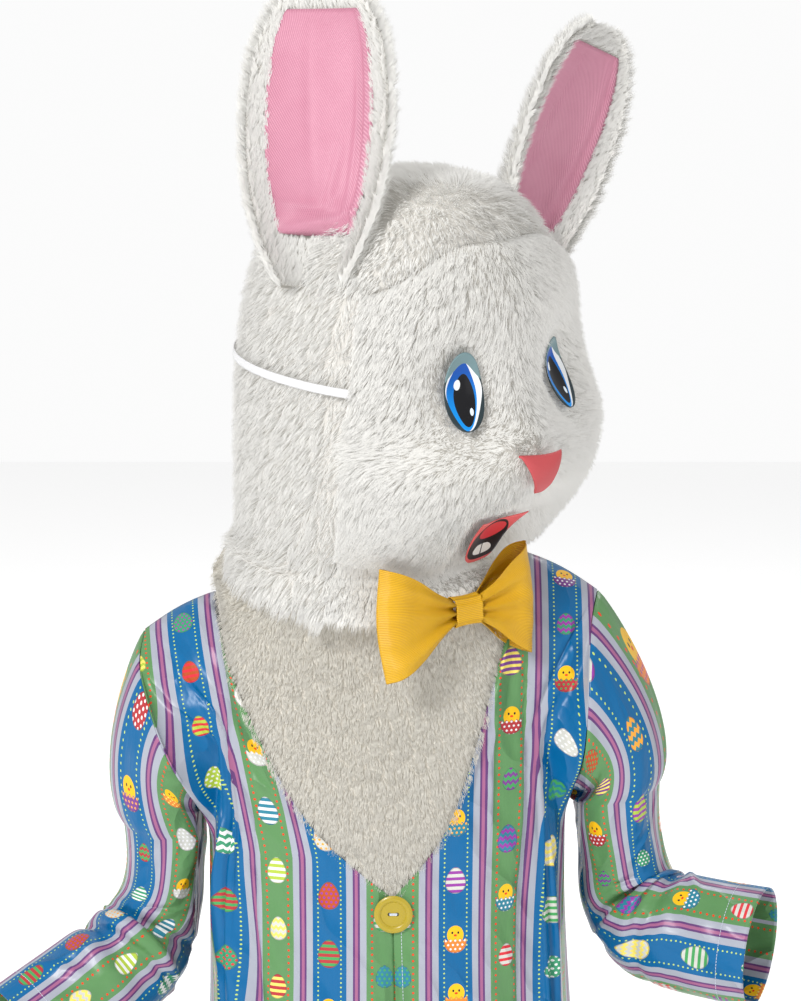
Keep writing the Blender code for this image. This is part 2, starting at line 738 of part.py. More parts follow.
def mask_skin():
    """A search tree of the mask's whole outer surface, its faces pointing out."""
    bands = np.linspace(0.02, 2.4, 34)
    angles = np.linspace(0, 2 * math.pi, 49)[:-1]
    grid, normals = mask_grid(bands, angles)
    turns = [abs((a + math.pi) % (2 * math.pi) - math.pi) for a in angles]
    front = np.array([turn < FACE_SEAM_ANGLE + 0.1 for turn in turns])
    stand = np.outer((bands > 0.9) & (bands < 2.1), front) * FACE_STAND
    grid = grid + normals * stand[..., None]
    points = [Vector(p) for p in grid.reshape(-1, 3)]
    count = len(angles)
    faces = []
    for i in range(len(bands) - 1):
        for j in range(count):
            a, b = i * count + j, i * count + (j + 1) % count
            faces.append((a, a + count, b + count, b))
    tree = BVHTree.FromPolygons(points, faces)
    near, normal = tree.find_nearest(Vector(from_head(0.3, 0, 0)))[:2]
    if normal.dot(Vector(LEFT)) < 0:
        tree = BVHTree.FromPolygons(points, [f[::-1] for f in faces])
    return tree


def build_mask(fur):
    """The hood with its crown and skirt, the face with its cheeks, and the throat under the chin."""
    crown = list(np.linspace(0, 1, CROWN_ROWS + 1))
    window = list(np.linspace(1, 2, WINDOW_ROWS + 1))
    skirt = list(np.linspace(2, 3, SKIRT_GRID_ROWS + 1))
    face_angles = list(np.linspace(-FACE_SEAM_ANGLE, FACE_SEAM_ANGLE, FACE_COLUMNS + 1))
    hood_angles = list(np.linspace(FACE_SEAM_ANGLE, 2 * math.pi - FACE_SEAM_ANGLE, HOOD_COLUMNS + 1))
    bands = crown + window[1:] + skirt[1:]
    angles = face_angles + hood_angles[1:-1]
    grid, normals = mask_grid(bands, angles)
    kept = [[i < CROWN_ROWS or j >= FACE_COLUMNS for j in range(len(angles))] for i in range(len(bands))]
    inner = grid - mask_depth(normals, bands, HOOD_PILE)
    hood = wall("mask_hood", grid, inner, fur, around=True, kept=kept)

    grid, normals = mask_grid(window, face_angles)
    inner = grid - mask_depth(normals, window, HOOD_PILE)
    stand = FACE_STAND * (1 - np.linspace(-1, 1, WINDOW_ROWS + 1) ** 12)
    grid = grid + normals * stand[:, None, None]
    for layer in (grid, inner):
        inset(layer, SEAM_GAP * 2)
    face = wall("mask_face", grid, inner, fur)

    grid, normals = mask_grid(skirt, face_angles)
    inner = grid - normals * TURNED_PILE
    for layer in (grid, inner):
        inset(layer, SEAM_GAP * 2, top=False, foot=False)
        inset(layer, CHIN_SEAM, left=False, right=False, top=False)
    throat = wall("mask_throat", grid, inner, fur)
    return hood, face, throat


def ear_grid(foot, tip, facing, rows, columns):
    """The front points of an ear, its thickness in each row, and the way it faces."""
    foot, tip = np.array(foot), np.array(tip)
    way = unit(tip - foot)
    facing = unit(np.array(facing) - way * (np.array(facing) @ way))
    across = np.cross(way, facing)
    grid = []
    thick = []
    for s in np.linspace(EAR_START, 1, rows + 1):
        half, curl, body = through(EAR_SECTIONS, s)
        line = []
        for c in np.linspace(-1, 1, columns + 1):
            sideways = across * half * math.sin(c * 1.25) / math.sin(1.25)
            line.append(foot + (tip - foot) * s + sideways + facing * curl * c * c)
        grid.append(line)
        thick.append([body * (1 - 0.55 * abs(c) ** 3) for c in np.linspace(-1, 1, columns + 1)])
    return np.array(grid), np.array(thick), facing


def tree_of(made):
    """A search tree of an object's faces."""
    points = [v.co for v in made.data.vertices]
    return BVHTree.FromPolygons(points, [tuple(p.vertices) for p in made.data.polygons])


def laid_on(tree, grid, ways, gap):
    """Points dropped on to an object's faces along their own directions, and held a gap above."""
    made = grid.copy()
    for row, way_row in zip(made, ways):
        for p, way in zip(row, way_row):
            hit = tree.ray_cast(Vector(p + way * 0.03), Vector(-way))[0]
            if hit is not None:
                p[:] = np.array(hit) + way * gap
    return made


def lay_on(tree, grid, gap):
    """Moves points that are in or too near a surface out to a gap above it."""
    for row in grid:
        for p in row:
            near, normal = tree.find_nearest(Vector(p))[:2]
            off = (Vector(p) - near).dot(normal)
            if off < gap:
                p[:] = np.array(near + normal * gap)


def build_ear(name, spec, hood_tree, fur, satin):
    """One ear: the plush shell with curled rims, and the satin lining laid in it."""
    grid, thick, facing = ear_grid(*spec, EAR_ROWS, EAR_COLUMNS)
    normals = outward(grid, normals_of(grid), grid - facing)
    back = grid - normals * thick[..., None]
    lay_on(hood_tree, back, EAR_SEAT)
    lay_on(hood_tree, grid, EAR_SEAT + EAR_FOOT_THICK)
    wall("ear_" + name, grid, back, fur)
    lining = grid[LINING_FOOT_ROW:-1, 1:-1]
    normals = outward(lining, normals_of(lining), lining - facing)
    base = lining + normals * SEAT_GAP
    wall("ear_lining_" + name, base + normals * LINING, base, satin)


def build_features(face, hood, eye, coral, printed, elastic):
    """Eyes, nose, mouth and the elastic strap, all laid on the mask's own faces."""
    tree = tree_of(face)
    for name, spec, shape, finish in (
        ("eye_left", EYE_LEFT, oval, eye),
        ("eye_right", EYE_RIGHT, oval, eye),
        ("nose", NOSE, triangle, coral),
        ("mouth", MOUTH, grin, printed),
    ):
        row, angle, tall, wide, thick = spec
        grid, ways = face_patch(row, angle, tall, wide, 6, 6)
        grid, ways = shape(grid), unit(shape(ways))
        base = laid_on(tree, grid, ways, PLATE_SEAT)
        wall(name, base + ways * thick, base, finish)
    start = FACE_SEAM_ANGLE + 0.012
    angles = np.linspace(start, 2 * math.pi - start, 31)
    rows = np.linspace(STRAP_ROW - STRAP_HALF, STRAP_ROW + STRAP_HALF, 2)
    grid = np.array([[mask_point(r, a) for a in angles] for r in rows])
    ways = np.array([[mask_normal(r, a) for a in angles] for r in rows])
    base = laid_on(tree_of(hood), grid, ways, PLATE_SEAT)
    wall("elastic_strap", base + ways * STRAP_THICK, base, elastic)


def oval(grid):
    """A square patch of points drawn in to an oval."""
    rows, columns = grid.shape[:2]
    made = grid.copy()
    for i in range(rows):
        for j in range(columns):
            v, u = 2 * i / (rows - 1) - 1, 2 * j / (columns - 1) - 1
            made[i, j] = sample(grid, v * math.sqrt(1 - u * u / 2), u * math.sqrt(1 - v * v / 2))
    return made


def grin(grid):
    """A square patch of points drawn in to an open mouth, wide above and round below."""
    rows, columns = grid.shape[:2]
    made = grid.copy()
    for i in range(rows):
        for j in range(columns):
            v, u = 2 * i / (rows - 1) - 1, 2 * j / (columns - 1) - 1
            width = 0.10 + 0.90 * math.sqrt(1 - ((v + 1) / 2) ** 2.2)
            made[i, j] = sample(grid, v - 0.10 * (1 - u * u) * (v - 1) * 0.5, u * width)
    return made


def triangle(grid):
    """A square patch of points drawn in to a soft triangle, its point downwards."""
    rows, columns = grid.shape[:2]
    made = grid.copy()
    for i in range(rows):
        for j in range(columns):
            v, u = 2 * i / (rows - 1) - 1, 2 * j / (columns - 1) - 1
            made[i, j] = sample(grid, v, u * (0.12 + 0.88 * (1 - (v + 1) / 2) ** 0.9))
    return made


def sample(grid, v, u):
    """A point of a patch at -1 to 1 across its rows and columns."""
    i = (v + 1) / 2 * (grid.shape[0] - 1)
    j = (u + 1) / 2 * (grid.shape[1] - 1)
    a, b = min(int(i), grid.shape[0] - 2), min(int(j), grid.shape[1] - 2)
    s, t = i - a, j - b
    top = grid[a, b] * (1 - t) + grid[a, b + 1] * t
    low = grid[a + 1, b] * (1 - t) + grid[a + 1, b + 1] * t
    return top * (1 - s) + low * s


# The bow tie

def bow_frame():
    """The middle of the bow's knot, and the bow's own axis, up and outward directions."""
    out = np.array((math.sin(BOW_YAW), -math.cos(BOW_YAW), 0.0))
    axis = unit(np.array((math.cos(BOW_YAW), math.sin(BOW_YAW), BOW_SLOPE)))
    up = unit(np.cross(out, axis)) * -1
    if up[2] < 0:
        up = -up
    middle = mask_point(BOW_ROW, BOW_ANGLE) - np.array((0, 0, BOW_DROP))
    return middle + out * BOW_STAND, axis, up, out


def loop_grid(side, rows=BOW_ROWS, columns=BOW_COLUMNS):
    """The ribbon of one loop, from the knot's front, round the outer fold, to the knot's back."""
    middle, axis, up, out = bow_frame()
    grid = []
    for k in range(rows + 1):
        turn = math.pi * (k / rows - 0.5)
        share = math.cos(turn) ** 0.75 if abs(turn) < math.pi / 2 - 1e-9 else 0.0
        face = -math.copysign(1, turn) if turn else 0
        half, depth = through(LOOP_SECTIONS, share)
        depth = depth * min(1.0, abs(turn) * 2.2)
        line = []
        for v in np.linspace(-1, 1, columns + 1):
            pleat = PLEAT_DEPTH * math.cos(v * math.pi * LOOP_PLEATS) * (1 - share) ** 1.2
            reach = KNOT_HALF[0] * 0.55 + LOOP_LONG[side] * share * (1 + 0.05 * math.cos(v * 2.2) - 0.05)
            across = out * face * (depth + 0.001 + pleat)
            line.append(middle + axis * side * reach + up * half * v + across)
        grid.append(line)
    return np.array(grid)


def build_bow(satin):
    """Two loops of ribbon and the knot that gathers them."""
    middle, axis, up, out = bow_frame()
    for name, side in (("bow_loop_left", 1), ("bow_loop_right", -1)):
        grid = loop_grid(side)
        grid += axis * side * (KNOT_HALF[0] * 0.45 + SEAT_GAP - LOOP_SEAT)
        normals = normals_of(grid)
        normals = outward(grid, normals, middle + axis * side * LOOP_LONG[side] * 0.5)
        wall(name, grid, grid - normals * BOW_RIBBON, satin)
    bm = bmesh.new()
    bmesh.ops.create_uvsphere(bm, u_segments=16, v_segments=8, radius=1.0)
    for v in bm.verts:
        p = [rounded(c, 3.2) * 0.9 if abs(c) > 1e-6 else 0.0 for c in v.co]
        at = middle + axis * p[0] * KNOT_HALF[0] + up * p[1] * KNOT_HALF[1] + out * p[2] * KNOT_HALF[2]
        v.co = Vector(at)
    bmesh.ops.triangulate(bm, faces=bm.faces)
    finish_mesh("bow_knot", bm, satin)


# The bib

def bib_grid():
    """The fur panel that fills the V, from edge to edge of the neckline and up inside the mask's skirt."""
    grid = []
    for share in np.linspace(0.05, 1.0, BIB_ROWS + 1):
        spread = share ** 0.8
        right, left = neckline_point(-1, spread), neckline_point(1, spread)
        edge = (left + right) / 2
        reach = (left - right) / 2
        middle_y = edge[1] - BIB_BULGE * ease(reach[0], 0.0, 0.08) * (1 - ease(spread, 0.5, 1.0))
        middle_y += (BIB_TOP_FRONT - edge[1]) * ease(spread, 0.5, 1.0)
        rise = (BIB_TOP_HEIGHT - edge[2]) * ease(spread, 0.5, 1.0)
        line = []
        for turn in np.linspace(-math.pi / 2, math.pi / 2, BIB_COLUMNS + 1):
            point = edge + reach * math.sin(turn)
            swell = math.cos(turn)
            near = (1 - swell) * (1 - math.sin(turn)) / 2
            point[1] = edge[1] + reach[1] * math.sin(turn) + (middle_y - edge[1]) * swell
            far = (1 - swell) * (1 + math.sin(turn)) / 2
            ends = BIB_END_RISE * near - BIB_FAR_DROP * far
            point[2] += rise * max(swell, 0) ** 0.5 + ends * ease(spread, 0.75, 1.0)
            radius = math.hypot(point[0], point[1])
            below = max(rim_height(point[0]) - BIB_RIM_ROOM - point[2], 0.0)
            allowed = BIB_NECK + below * 2.0
            if radius > allowed:
                point[:2] *= allowed / radius
            line.append(point)
        grid.append(line)
    return np.array(grid)


def build_bib(fur):
    """The bib's wall, thinner along the seam that joins it to the neckline."""
    grid = bib_grid()
    grid[:, 0, 0] += BIB_SEAM
    grid[:, -1, 0] -= BIB_SEAM
    normals = outward(grid, normals_of(grid), grid + (0, 1, 0))
    spread = 1 - np.abs(np.linspace(-1, 1, BIB_COLUMNS + 1)) ** 6
    rising = ease_all(np.linspace(0, 1, BIB_ROWS + 1) * 2.5)
    thick = BIB_EDGE + (BIB_PILE - BIB_EDGE) * np.outer(rising, spread)
    wall("bib", grid, grid - normals * thick[..., None], fur)


def ease_all(values):
    """A smooth step of every value from 0 to 1."""
    return np.array([ease(v, 0.0, 1.0) for v in values])


def button(name, height, plastic):
    """A two-hole button with a raised rim, lying on the left front over the closing edge."""
    bm = bmesh.new()
    rings = []
    for radius, rise in BUTTON_PROFILE:
        if radius == 0:
            rings.append([bm.verts.new((0, 0, rise))] * BUTTON_SEGMENTS)
            continue
        turns = [2 * math.pi * k / BUTTON_SEGMENTS for k in range(BUTTON_SEGMENTS)]
        rings.append([bm.verts.new((radius * math.cos(t), radius * math.sin(t), rise)) for t in turns])
    for a, b in zip(rings, rings[1:]):
        for k in range(BUTTON_SEGMENTS):
            m = (k + 1) % BUTTON_SEGMENTS
            corners = [a[k], b[k], b[m], a[m]]
            bm.faces.new(list(dict.fromkeys(corners)))
    made = finish_mesh(name, bm, plastic)
    for side in (-1, 1):
        cutter_mesh = bpy.data.meshes.new("hole_cutter")
        hole = bmesh.new()
        size = {"radius1": HOLE_RADIUS, "radius2": HOLE_RADIUS, "depth": 0.02}
        bmesh.ops.create_cone(hole, cap_ends=True, segments=12, **size)
        bmesh.ops.translate(hole, verts=hole.verts, vec=(side * HOLE_APART / 2, 0, 0))
        hole.to_mesh(cutter_mesh)
        hole.free()
        cutter = bpy.data.objects.new(name + "_hole_cutter", cutter_mesh)
        CUTTERS.objects.link(cutter)
        cutter.hide_render = True
        cutter.display_type = "WIRE"
        cut = made.modifiers.new("hole", "BOOLEAN")
        cut.operation = "DIFFERENCE"
        cut.solver = "EXACT"
        cut.object = cutter
    out = np.array((0, -1.0, 0))
    front = torso_point(height, ring_angle(CLOSURE_X, height))
    place = front + out * 0.0012
    for obj in [made] + [c for c in CUTTERS.objects if c.name.startswith(name + "_")]:
        for v in obj.data.vertices:
            x, y, z = v.co
            v.co = Vector(place + np.array((x, -z, y)))
    return made


def clear_scene():
    """Removes whatever the scene holds."""
    for obj in list(bpy.data.objects):
        bpy.data.objects.remove(obj, do_unlink=True)


clear_scene()
COSTUME = bpy.data.collections.new("easter_bunny_costume")
bpy.context.scene.collection.children.link(COSTUME)
CUTTERS = bpy.data.collections.new("cutters")
bpy.context.scene.collection.children.link(CUTTERS)
CUTTERS.hide_render = True


def shared_normals(grids, normals):
    """Normals that are the same in every piece that shares a point."""
    total = {}
    for grid, ways in zip(grids, normals):
        for p, w in zip(grid.reshape(-1, 3), ways.reshape(-1, 3)):
            key = tuple(np.round(p, 5))
            total[key] = total.get(key, 0) + w
    made = []
    for grid in grids:
        keys = [tuple(np.round(p, 5)) for p in grid.reshape(-1, 3)]
        made.append(unit(np.array([total[k] for k in keys])).reshape(grid.shape))
    return made


def clear_of_body(grid):
    """Moves a sleeve's points sideways until they stand just clear of the body's cloth."""
    for row in grid[4:]:
        for p in row:
            if p[2] > -0.235 or p[2] < HEM_Z:
                continue
            middle, half, front, back = through(TORSO, p[2])
            depth = front if p[1] < 0 else back
            share = min(abs(p[1]) / depth, 0.999)
            edge = (half + 0.012) * (1 - share ** RING_POWER) ** (1 / RING_POWER) + SIDE_ROOM
            if abs(p[0] - middle) < edge:
                p[0] = middle + math.copysign(edge, p[0] - middle)
    return grid


def underlap(grid, deeper):
    """Adds the strip of the right front that lies under the left front's closing edge."""
    edge = grid[:, 0]
    way = unit(edge - grid[:, 1])
    out = np.array((0, -1.0, 0))
    step = edge - way * 0.004
    drop = edge - way * 0.0005 - out * UNDERLAP_DROP
    far = []
    for p in edge:
        height = min(max(p[2], HEM_Z), CHEST_Z)
        under = torso_point(height, ring_angle(CLOSURE_X + UNDERLAP, height))
        far.append(under - out * (UNDERLAP_DROP + deeper))
    return np.concatenate([np.array(far)[:, None], drop[:, None], step[:, None], grid[:, 1:]], axis=1)


def build_jacket(satin):
    """Fronts, back and sleeves, all walls of one cloth with shared seams."""
    left = front_grid(1, ARMHOLE_LEFT_FRONT)
    right = front_grid(-1, ARMHOLE_RIGHT_FRONT)
    back = back_grid(ARMHOLE_LEFT_BACK, ARMHOLE_RIGHT_BACK)
    arm = NECK_COLUMNS + SHOULDER_COLUMNS
    loop_left = np.concatenate([left[-1, arm:], back[-1, 1:ARM_COLUMNS]])
    loop_right = np.concatenate([right[-1, arm:], back[-1, -ARM_COLUMNS:-1][::-1]])
    grids = [left, right, back]
    normals = []
    for grid in grids:
        middles = grid * (0, 0, 1) + (0.01, 0, 0)
        normals.append(outward(grid, normals_of(grid), middles))
    for side, loop, path, folds in (
        (1, loop_left, SLEEVE_LEFT, SLEEVE_FOLDS_LEFT),
        (-1, loop_right, SLEEVE_RIGHT, SLEEVE_FOLDS_RIGHT),
    ):
        grid, middles = sleeve_grid(side, loop, path, folds)
        grid = clear_of_body(grid)
        grids.append(grid)
        normals.append(outward(grid, normals_of(grid, around=True), middles[:, None]))
    shared = shared_normals(grids, normals)
    names = ("jacket_front_left", "jacket_front_right", "jacket_back", "sleeve_left", "sleeve_right")
    for name, grid, ways in zip(names, grids, shared):
        thick = np.full(grid.shape[:2] + (1,), CLOTH)
        if name.startswith("sleeve"):
            thick[0] = CLOTH * SEAM_THIN
        else:
            thick[-1] = CLOTH * SEAM_THIN
            thick[:, 0] = thick[:, -1] = CLOTH * SEAM_THIN
        inner = grid - ways * thick
        outer = grid.copy()
        if name == "jacket_front_right":
            outer, inner = underlap(outer, 0.0), underlap(inner, CLOTH)
            for layer in (outer, inner):
                inset(layer, SEAM_GAP, left=False, foot=False)
        elif name.startswith("sleeve"):
            for layer in (outer, inner):
                inset(layer, SLEEVE_SEAM[name], left=False, right=False, top=False)
        else:
            for layer in (outer, inner):
                inset(layer, SEAM_GAP, foot=False)
        wall(name, outer, inner, satin, around=name.startswith("sleeve"))


def main():
    """Builds the costume."""
    fur = material("white_plush", (0.86, 0.85, 0.81), 0.9, 0.4)
    bib_fur = material("cream_plush", (0.72, 0.68, 0.62), 0.9, 0.4)
    satin = material("striped_satin", (0.20, 0.45, 0.62), 0.4)
    pink = material("pink_satin", (0.84, 0.36, 0.50), 0.38)
    yellow = material("yellow_ribbon", (0.95, 0.55, 0.02), 0.45)
    mustard = material("mustard_plastic", (0.62, 0.44, 0.04), 0.4)
    eyes = material("printed_eye", (0.02, 0.30, 0.65), 0.15)
    mouth = material("printed_mouth", (0.68, 0.10, 0.12), 0.45)
    coral = material("coral_nose", (0.78, 0.16, 0.17), 0.5)
    elastic = material("white_elastic", (0.85, 0.85, 0.83), 0.7)
    hood, face, throat = build_mask(fur)
    tree = mask_skin()
    build_ear("left", EAR_LEFT, tree, fur, pink)
    build_ear("right", EAR_RIGHT, tree, fur, pink)
    build_features(face, hood, eyes, coral, mouth, elastic)
    build_bow(yellow)
    build_jacket(satin)
    build_bib(bib_fur)
    for number, height in enumerate(BUTTON_HEIGHTS, 1):
        button("button_" + str(number), height, mustard)


main()
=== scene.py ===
"""Looks of the easter bunny costume: furred mask, satin-lined ears, fur bib, bow tie and jacket.

The cloth follows the same named sizes and sections as the solids, sampled more finely. Fur is joined
blades of mesh, and the jacket's print is worked out in its shader from the cloth's own flat measure.
"""

import logging
import math
from dataclasses import dataclass, field
from enum import Enum
from typing import Callable, Dict, List, Optional, Sequence, Tuple

import bpy
import numpy as np
from bpy.types import Material, Mesh, NodeSocket as Socket, Object
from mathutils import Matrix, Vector
from mathutils.bvhtree import BVHTree
from mathutils.kdtree import KDTree

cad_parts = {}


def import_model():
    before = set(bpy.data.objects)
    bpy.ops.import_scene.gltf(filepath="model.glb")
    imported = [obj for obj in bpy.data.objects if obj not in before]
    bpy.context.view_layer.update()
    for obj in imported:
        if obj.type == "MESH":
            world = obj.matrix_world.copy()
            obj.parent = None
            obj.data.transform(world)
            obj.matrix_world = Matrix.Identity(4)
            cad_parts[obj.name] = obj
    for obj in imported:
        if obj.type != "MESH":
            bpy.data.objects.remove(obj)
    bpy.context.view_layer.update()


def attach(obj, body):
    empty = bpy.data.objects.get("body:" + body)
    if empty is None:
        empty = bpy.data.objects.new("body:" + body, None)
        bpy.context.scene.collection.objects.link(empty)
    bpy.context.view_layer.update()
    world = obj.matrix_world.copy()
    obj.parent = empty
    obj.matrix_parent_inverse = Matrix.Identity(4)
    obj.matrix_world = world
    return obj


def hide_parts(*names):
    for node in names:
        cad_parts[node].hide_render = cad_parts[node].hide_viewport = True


Colour = Tuple[float, ...]
Colours = Sequence[Colour]
Table = Sequence[Sequence[float]]

LOG = logging.getLogger("costume")
SEED = 7
MAP = "cut"

# Jacket: heights that matter, and the ring's roundness, 2 being an ellipse
RING_POWER = 2.3
HEM_Z = -0.750
CHEST_Z = -0.170
LOWER_ROWS = 56
UPPER_ROWS = 34
NECK_COLUMNS = 24
SHOULDER_COLUMNS = 10
ARM_COLUMNS = 24
BACK_NECK_COLUMNS = 24
ARM_CROWDING = 0.45
CHEST_TIP_ANGLE = math.radians(54)
CLOSURE_X = 0.0225
UNDERLAP = 0.013
UNDERLAP_DROP = 0.0032
TILT = 0.020
SLEEVE_ROWS = 110
SLEEVE_KNOTS = 26
SLEEVE_EASE_IN = 0.24
SIDE_ROOM = 0.0035
SIDE_ROOM_FROM_ROW = 18
SIDE_ROOM_TOP = -0.235
ARMPIT_ROOM = 0.010
ARMPIT_END = 0.26
TURN_DROP = 0.045

# height, middle x, half width, front depth, back depth
TORSO = (
    (-0.75, 0.024, 0.205, 0.15, 0.14), (-0.6, 0.022, 0.196, 0.147, 0.134),
    (-0.45, 0.019, 0.184, 0.143, 0.127), (-0.33, 0.016, 0.18, 0.139, 0.122),
    (-0.23, 0.015, 0.18, 0.134, 0.121), (-0.17, 0.01, 0.181, 0.127, 0.119),
    (-0.1, 0.004, 0.184, 0.108, 0.108),
)

# half width, front y, height: the V of the neckline, from its point to the neck end of the shoulder
NECKLINE = (
    (0.0, -0.1385, -0.299), (0.04, -0.136, -0.261), (0.068, -0.132, -0.226),
    (0.096, -0.122, -0.171), (0.122, -0.099, -0.103), (0.138, -0.07, -0.057),
    (0.156, 0.005, -0.001),
)
# height, how far the V's middle stands off x 0
V_MIDDLE = (
    (-0.31, 0.0265), (-0.299, 0.0225), (-0.261, 0.015), (-0.226, 0.009), (-0.171, 0.003),
    (-0.057, -0.003), (0.02, 0.0),
)
# x, y, height without the tilt: back neckline from the costume's left
BACK_NECK = (
    (0.156, 0.005, -0.001), (0.12, 0.04, 0.004), (0.06, 0.062, -0.002),
    (0.0, 0.068, -0.004), (-0.06, 0.062, -0.002), (-0.12, 0.04, 0.004),
    (-0.156, 0.005, -0.001),
)
SHOULDER_TIP = (0.227, 0.008, -0.040)
# x, y, height: the sleeve seam from the shoulder tip to the underarm
ARMHOLE_LEFT_FRONT = (
    (0.227, 0.008, -0.02), (0.22, -0.028, -0.04), (0.215, -0.062, -0.078),
    (0.213, -0.086, -0.122), (0.21, -0.084, -0.166), (0.202, -0.048, -0.205),
    (0.196, 0.0, -0.222),
)
ARMHOLE_LEFT_BACK = (
    (0.227, 0.008, -0.02), (0.216, 0.045, -0.045), (0.207, 0.074, -0.088),
    (0.203, 0.084, -0.135), (0.2, 0.07, -0.183), (0.197, 0.036, -0.212),
    (0.196, 0.0, -0.222),
)
ARMHOLE_RIGHT_FRONT = (
    (-0.227, 0.008, -0.06), (-0.23, -0.026, -0.084), (-0.219, -0.066, -0.12),
    (-0.206, -0.088, -0.152), (-0.19, -0.09, -0.186), (-0.174, -0.056, -0.218),
    (-0.165, 0.0, -0.234),
)
ARMHOLE_RIGHT_BACK = (
    (-0.227, 0.008, -0.06), (-0.222, 0.045, -0.078), (-0.207, 0.076, -0.112),
    (-0.192, 0.086, -0.152), (-0.178, 0.07, -0.196), (-0.169, 0.036, -0.225),
    (-0.165, 0.0, -0.234),
)

# x, y, height of the sleeve's middle line
SLEEVE_LEFT = (
    (0.241, 0.004, -0.185), (0.245, 0.01, -0.235), (0.2545, 0.018, -0.29),
    (0.261, 0.016, -0.338), (0.283, -0.002, -0.362), (0.323, -0.024, -0.368),
    (0.39, -0.052, -0.374),
)
SLEEVE_RIGHT = (
    (-0.205, 0.002, -0.195), (-0.202, 0.006, -0.245), (-0.205, 0.012, -0.3),
    (-0.213, 0.01, -0.35), (-0.233, -0.006, -0.385), (-0.266, -0.026, -0.41),
    (-0.345, -0.068, -0.462),
)
# share of the length, radius towards the outside, radius towards the front
SLEEVE_GIRTH = (
    (0.0, 0.066, 0.07), (0.18, 0.053, 0.064), (0.45, 0.044, 0.061), (0.6, 0.052, 0.06),
    (0.72, 0.056, 0.06), (0.88, 0.059, 0.06), (1.0, 0.06, 0.061),
)
# angle from the top round the front in degrees, share of the length, half width across in degrees,
# half length as a share, height out of the cloth, slant in degrees for each share
SLEEVE_FOLDS_LEFT = (
    (150, 0.24, 16, 0.13, -0.007, 160), (115, 0.32, 14, 0.12, 0.005, 140),
    (60, 0.36, 14, 0.14, 0.004, -120), (95, 0.61, 60, 0.032, -0.01, 60),
    (95, 0.67, 50, 0.03, 0.006, 80), (100, 0.73, 60, 0.03, -0.007, -40),
    (250, 0.68, 40, 0.05, 0.005, 40), (200, 0.86, 20, 0.1, 0.003, 60),
)
SLEEVE_FOLDS_RIGHT = (
    (165, 0.22, 16, 0.12, -0.007, -140), (120, 0.32, 16, 0.12, 0.005, -160),
    (70, 0.38, 14, 0.12, -0.004, 120), (90, 0.58, 60, 0.032, -0.01, -60),
    (85, 0.64, 50, 0.03, 0.006, -40), (80, 0.7, 60, 0.03, -0.008, 40),
    (100, 0.76, 40, 0.032, 0.005, 80), (250, 0.66, 40, 0.05, 0.005, -40),
)
# angle from the front in degrees, top height, foot height, half width in degrees, height out,
# drift in degrees
BODY_FOLDS = (
    (-62, -0.2, -0.46, 7.0, 0.013, 12), (-50, -0.26, -0.6, 6.0, -0.008, 14),
    (-36, -0.34, -0.72, 5.0, 0.006, 8), (30, -0.4, -0.73, 5.0, 0.005, -4),
    (50, -0.2, -0.55, 6.0, -0.006, -6), (62, -0.22, -0.62, 6.0, 0.009, -4),
    (80, -0.3, -0.7, 6.0, -0.005, 0), (-80, -0.34, -0.72, 6.0, -0.006, 4),
    (112, -0.24, -0.6, 7.0, 0.007, 8), (135, -0.36, -0.73, 7.0, -0.006, 4),
    (158, -0.2, -0.52, 8.0, 0.005, 6), (180, -0.4, -0.74, 8.0, 0.006, 0),
    (205, -0.22, -0.58, 8.0, 0.005, -6), (228, -0.38, -0.73, 7.0, -0.006, -4),
    (250, -0.24, -0.6, 7.0, 0.007, -8),
)

# Mask: how it is turned on the jacket, and its middle
HEAD_YAW = math.radians(46)
HEAD_PITCH = math.radians(6)
HEAD_ROLL = math.radians(3.5)
HEAD_CENTRE = np.array((0.038, -0.037, 0.230))
HEAD_POWER = 2.15
# height in the head, middle forward, half width, front depth, back depth
HEAD_ROWS = (
    (0.18, 0.01, 0.0, 0.0, 0.0), (0.175, 0.01, 0.048, 0.044, 0.05),
    (0.16, 0.008, 0.09, 0.084, 0.098), (0.133, 0.004, 0.12, 0.114, 0.131),
    (0.094, 0.0, 0.141, 0.134, 0.157), (0.045, 0.0, 0.151, 0.142, 0.172),
    (-0.01, 0.0, 0.156, 0.143, 0.178), (-0.065, 0.0, 0.158, 0.144, 0.179),
    (-0.115, 0.0, 0.157, 0.136, 0.178), (-0.16, -0.004, 0.153, 0.122, 0.175),
    (-0.192, -0.008, 0.15, 0.112, 0.172),
)
# share of the way down to the rim, middle forward, half width, front depth, back depth, in a level frame
SKIRT_ROWS = (
    (0.33, 0.009, 0.147, 0.126, 0.154), (0.67, 0.004, 0.147, 0.14, 0.147),
    (1.0, 0.0, 0.149, 0.15, 0.141),
)
RIM_FRONT = -0.022
RIM_RISE = 0.047
RIM_LEAN = 0.25
SKIRT_LEAST = 0.018
# left, forward, up in the head, spread across, spread up, height out of the face
FACE_FORMS = (
    (0.104, 0.112, -0.062, 0.044, 0.046, 0.024), (-0.108, 0.112, -0.092, 0.05, 0.056, 0.026),
    (0.0, 0.146, -0.074, 0.04, 0.032, 0.02), (0.034, 0.138, -0.1, 0.03, 0.024, 0.01),
    (-0.034, 0.138, -0.1, 0.03, 0.024, 0.01), (0.06, 0.13, 0.006, 0.026, 0.034, -0.016),
    (-0.06, 0.13, 0.006, 0.026, 0.034, -0.014),
    (-0.008, 0.128, -0.148, 0.026, 0.026, -0.012), (0.0, 0.128, 0.075, 0.08, 0.04, 0.008),
    (0.0, 0.12, -0.172, 0.03, 0.024, -0.008),
)
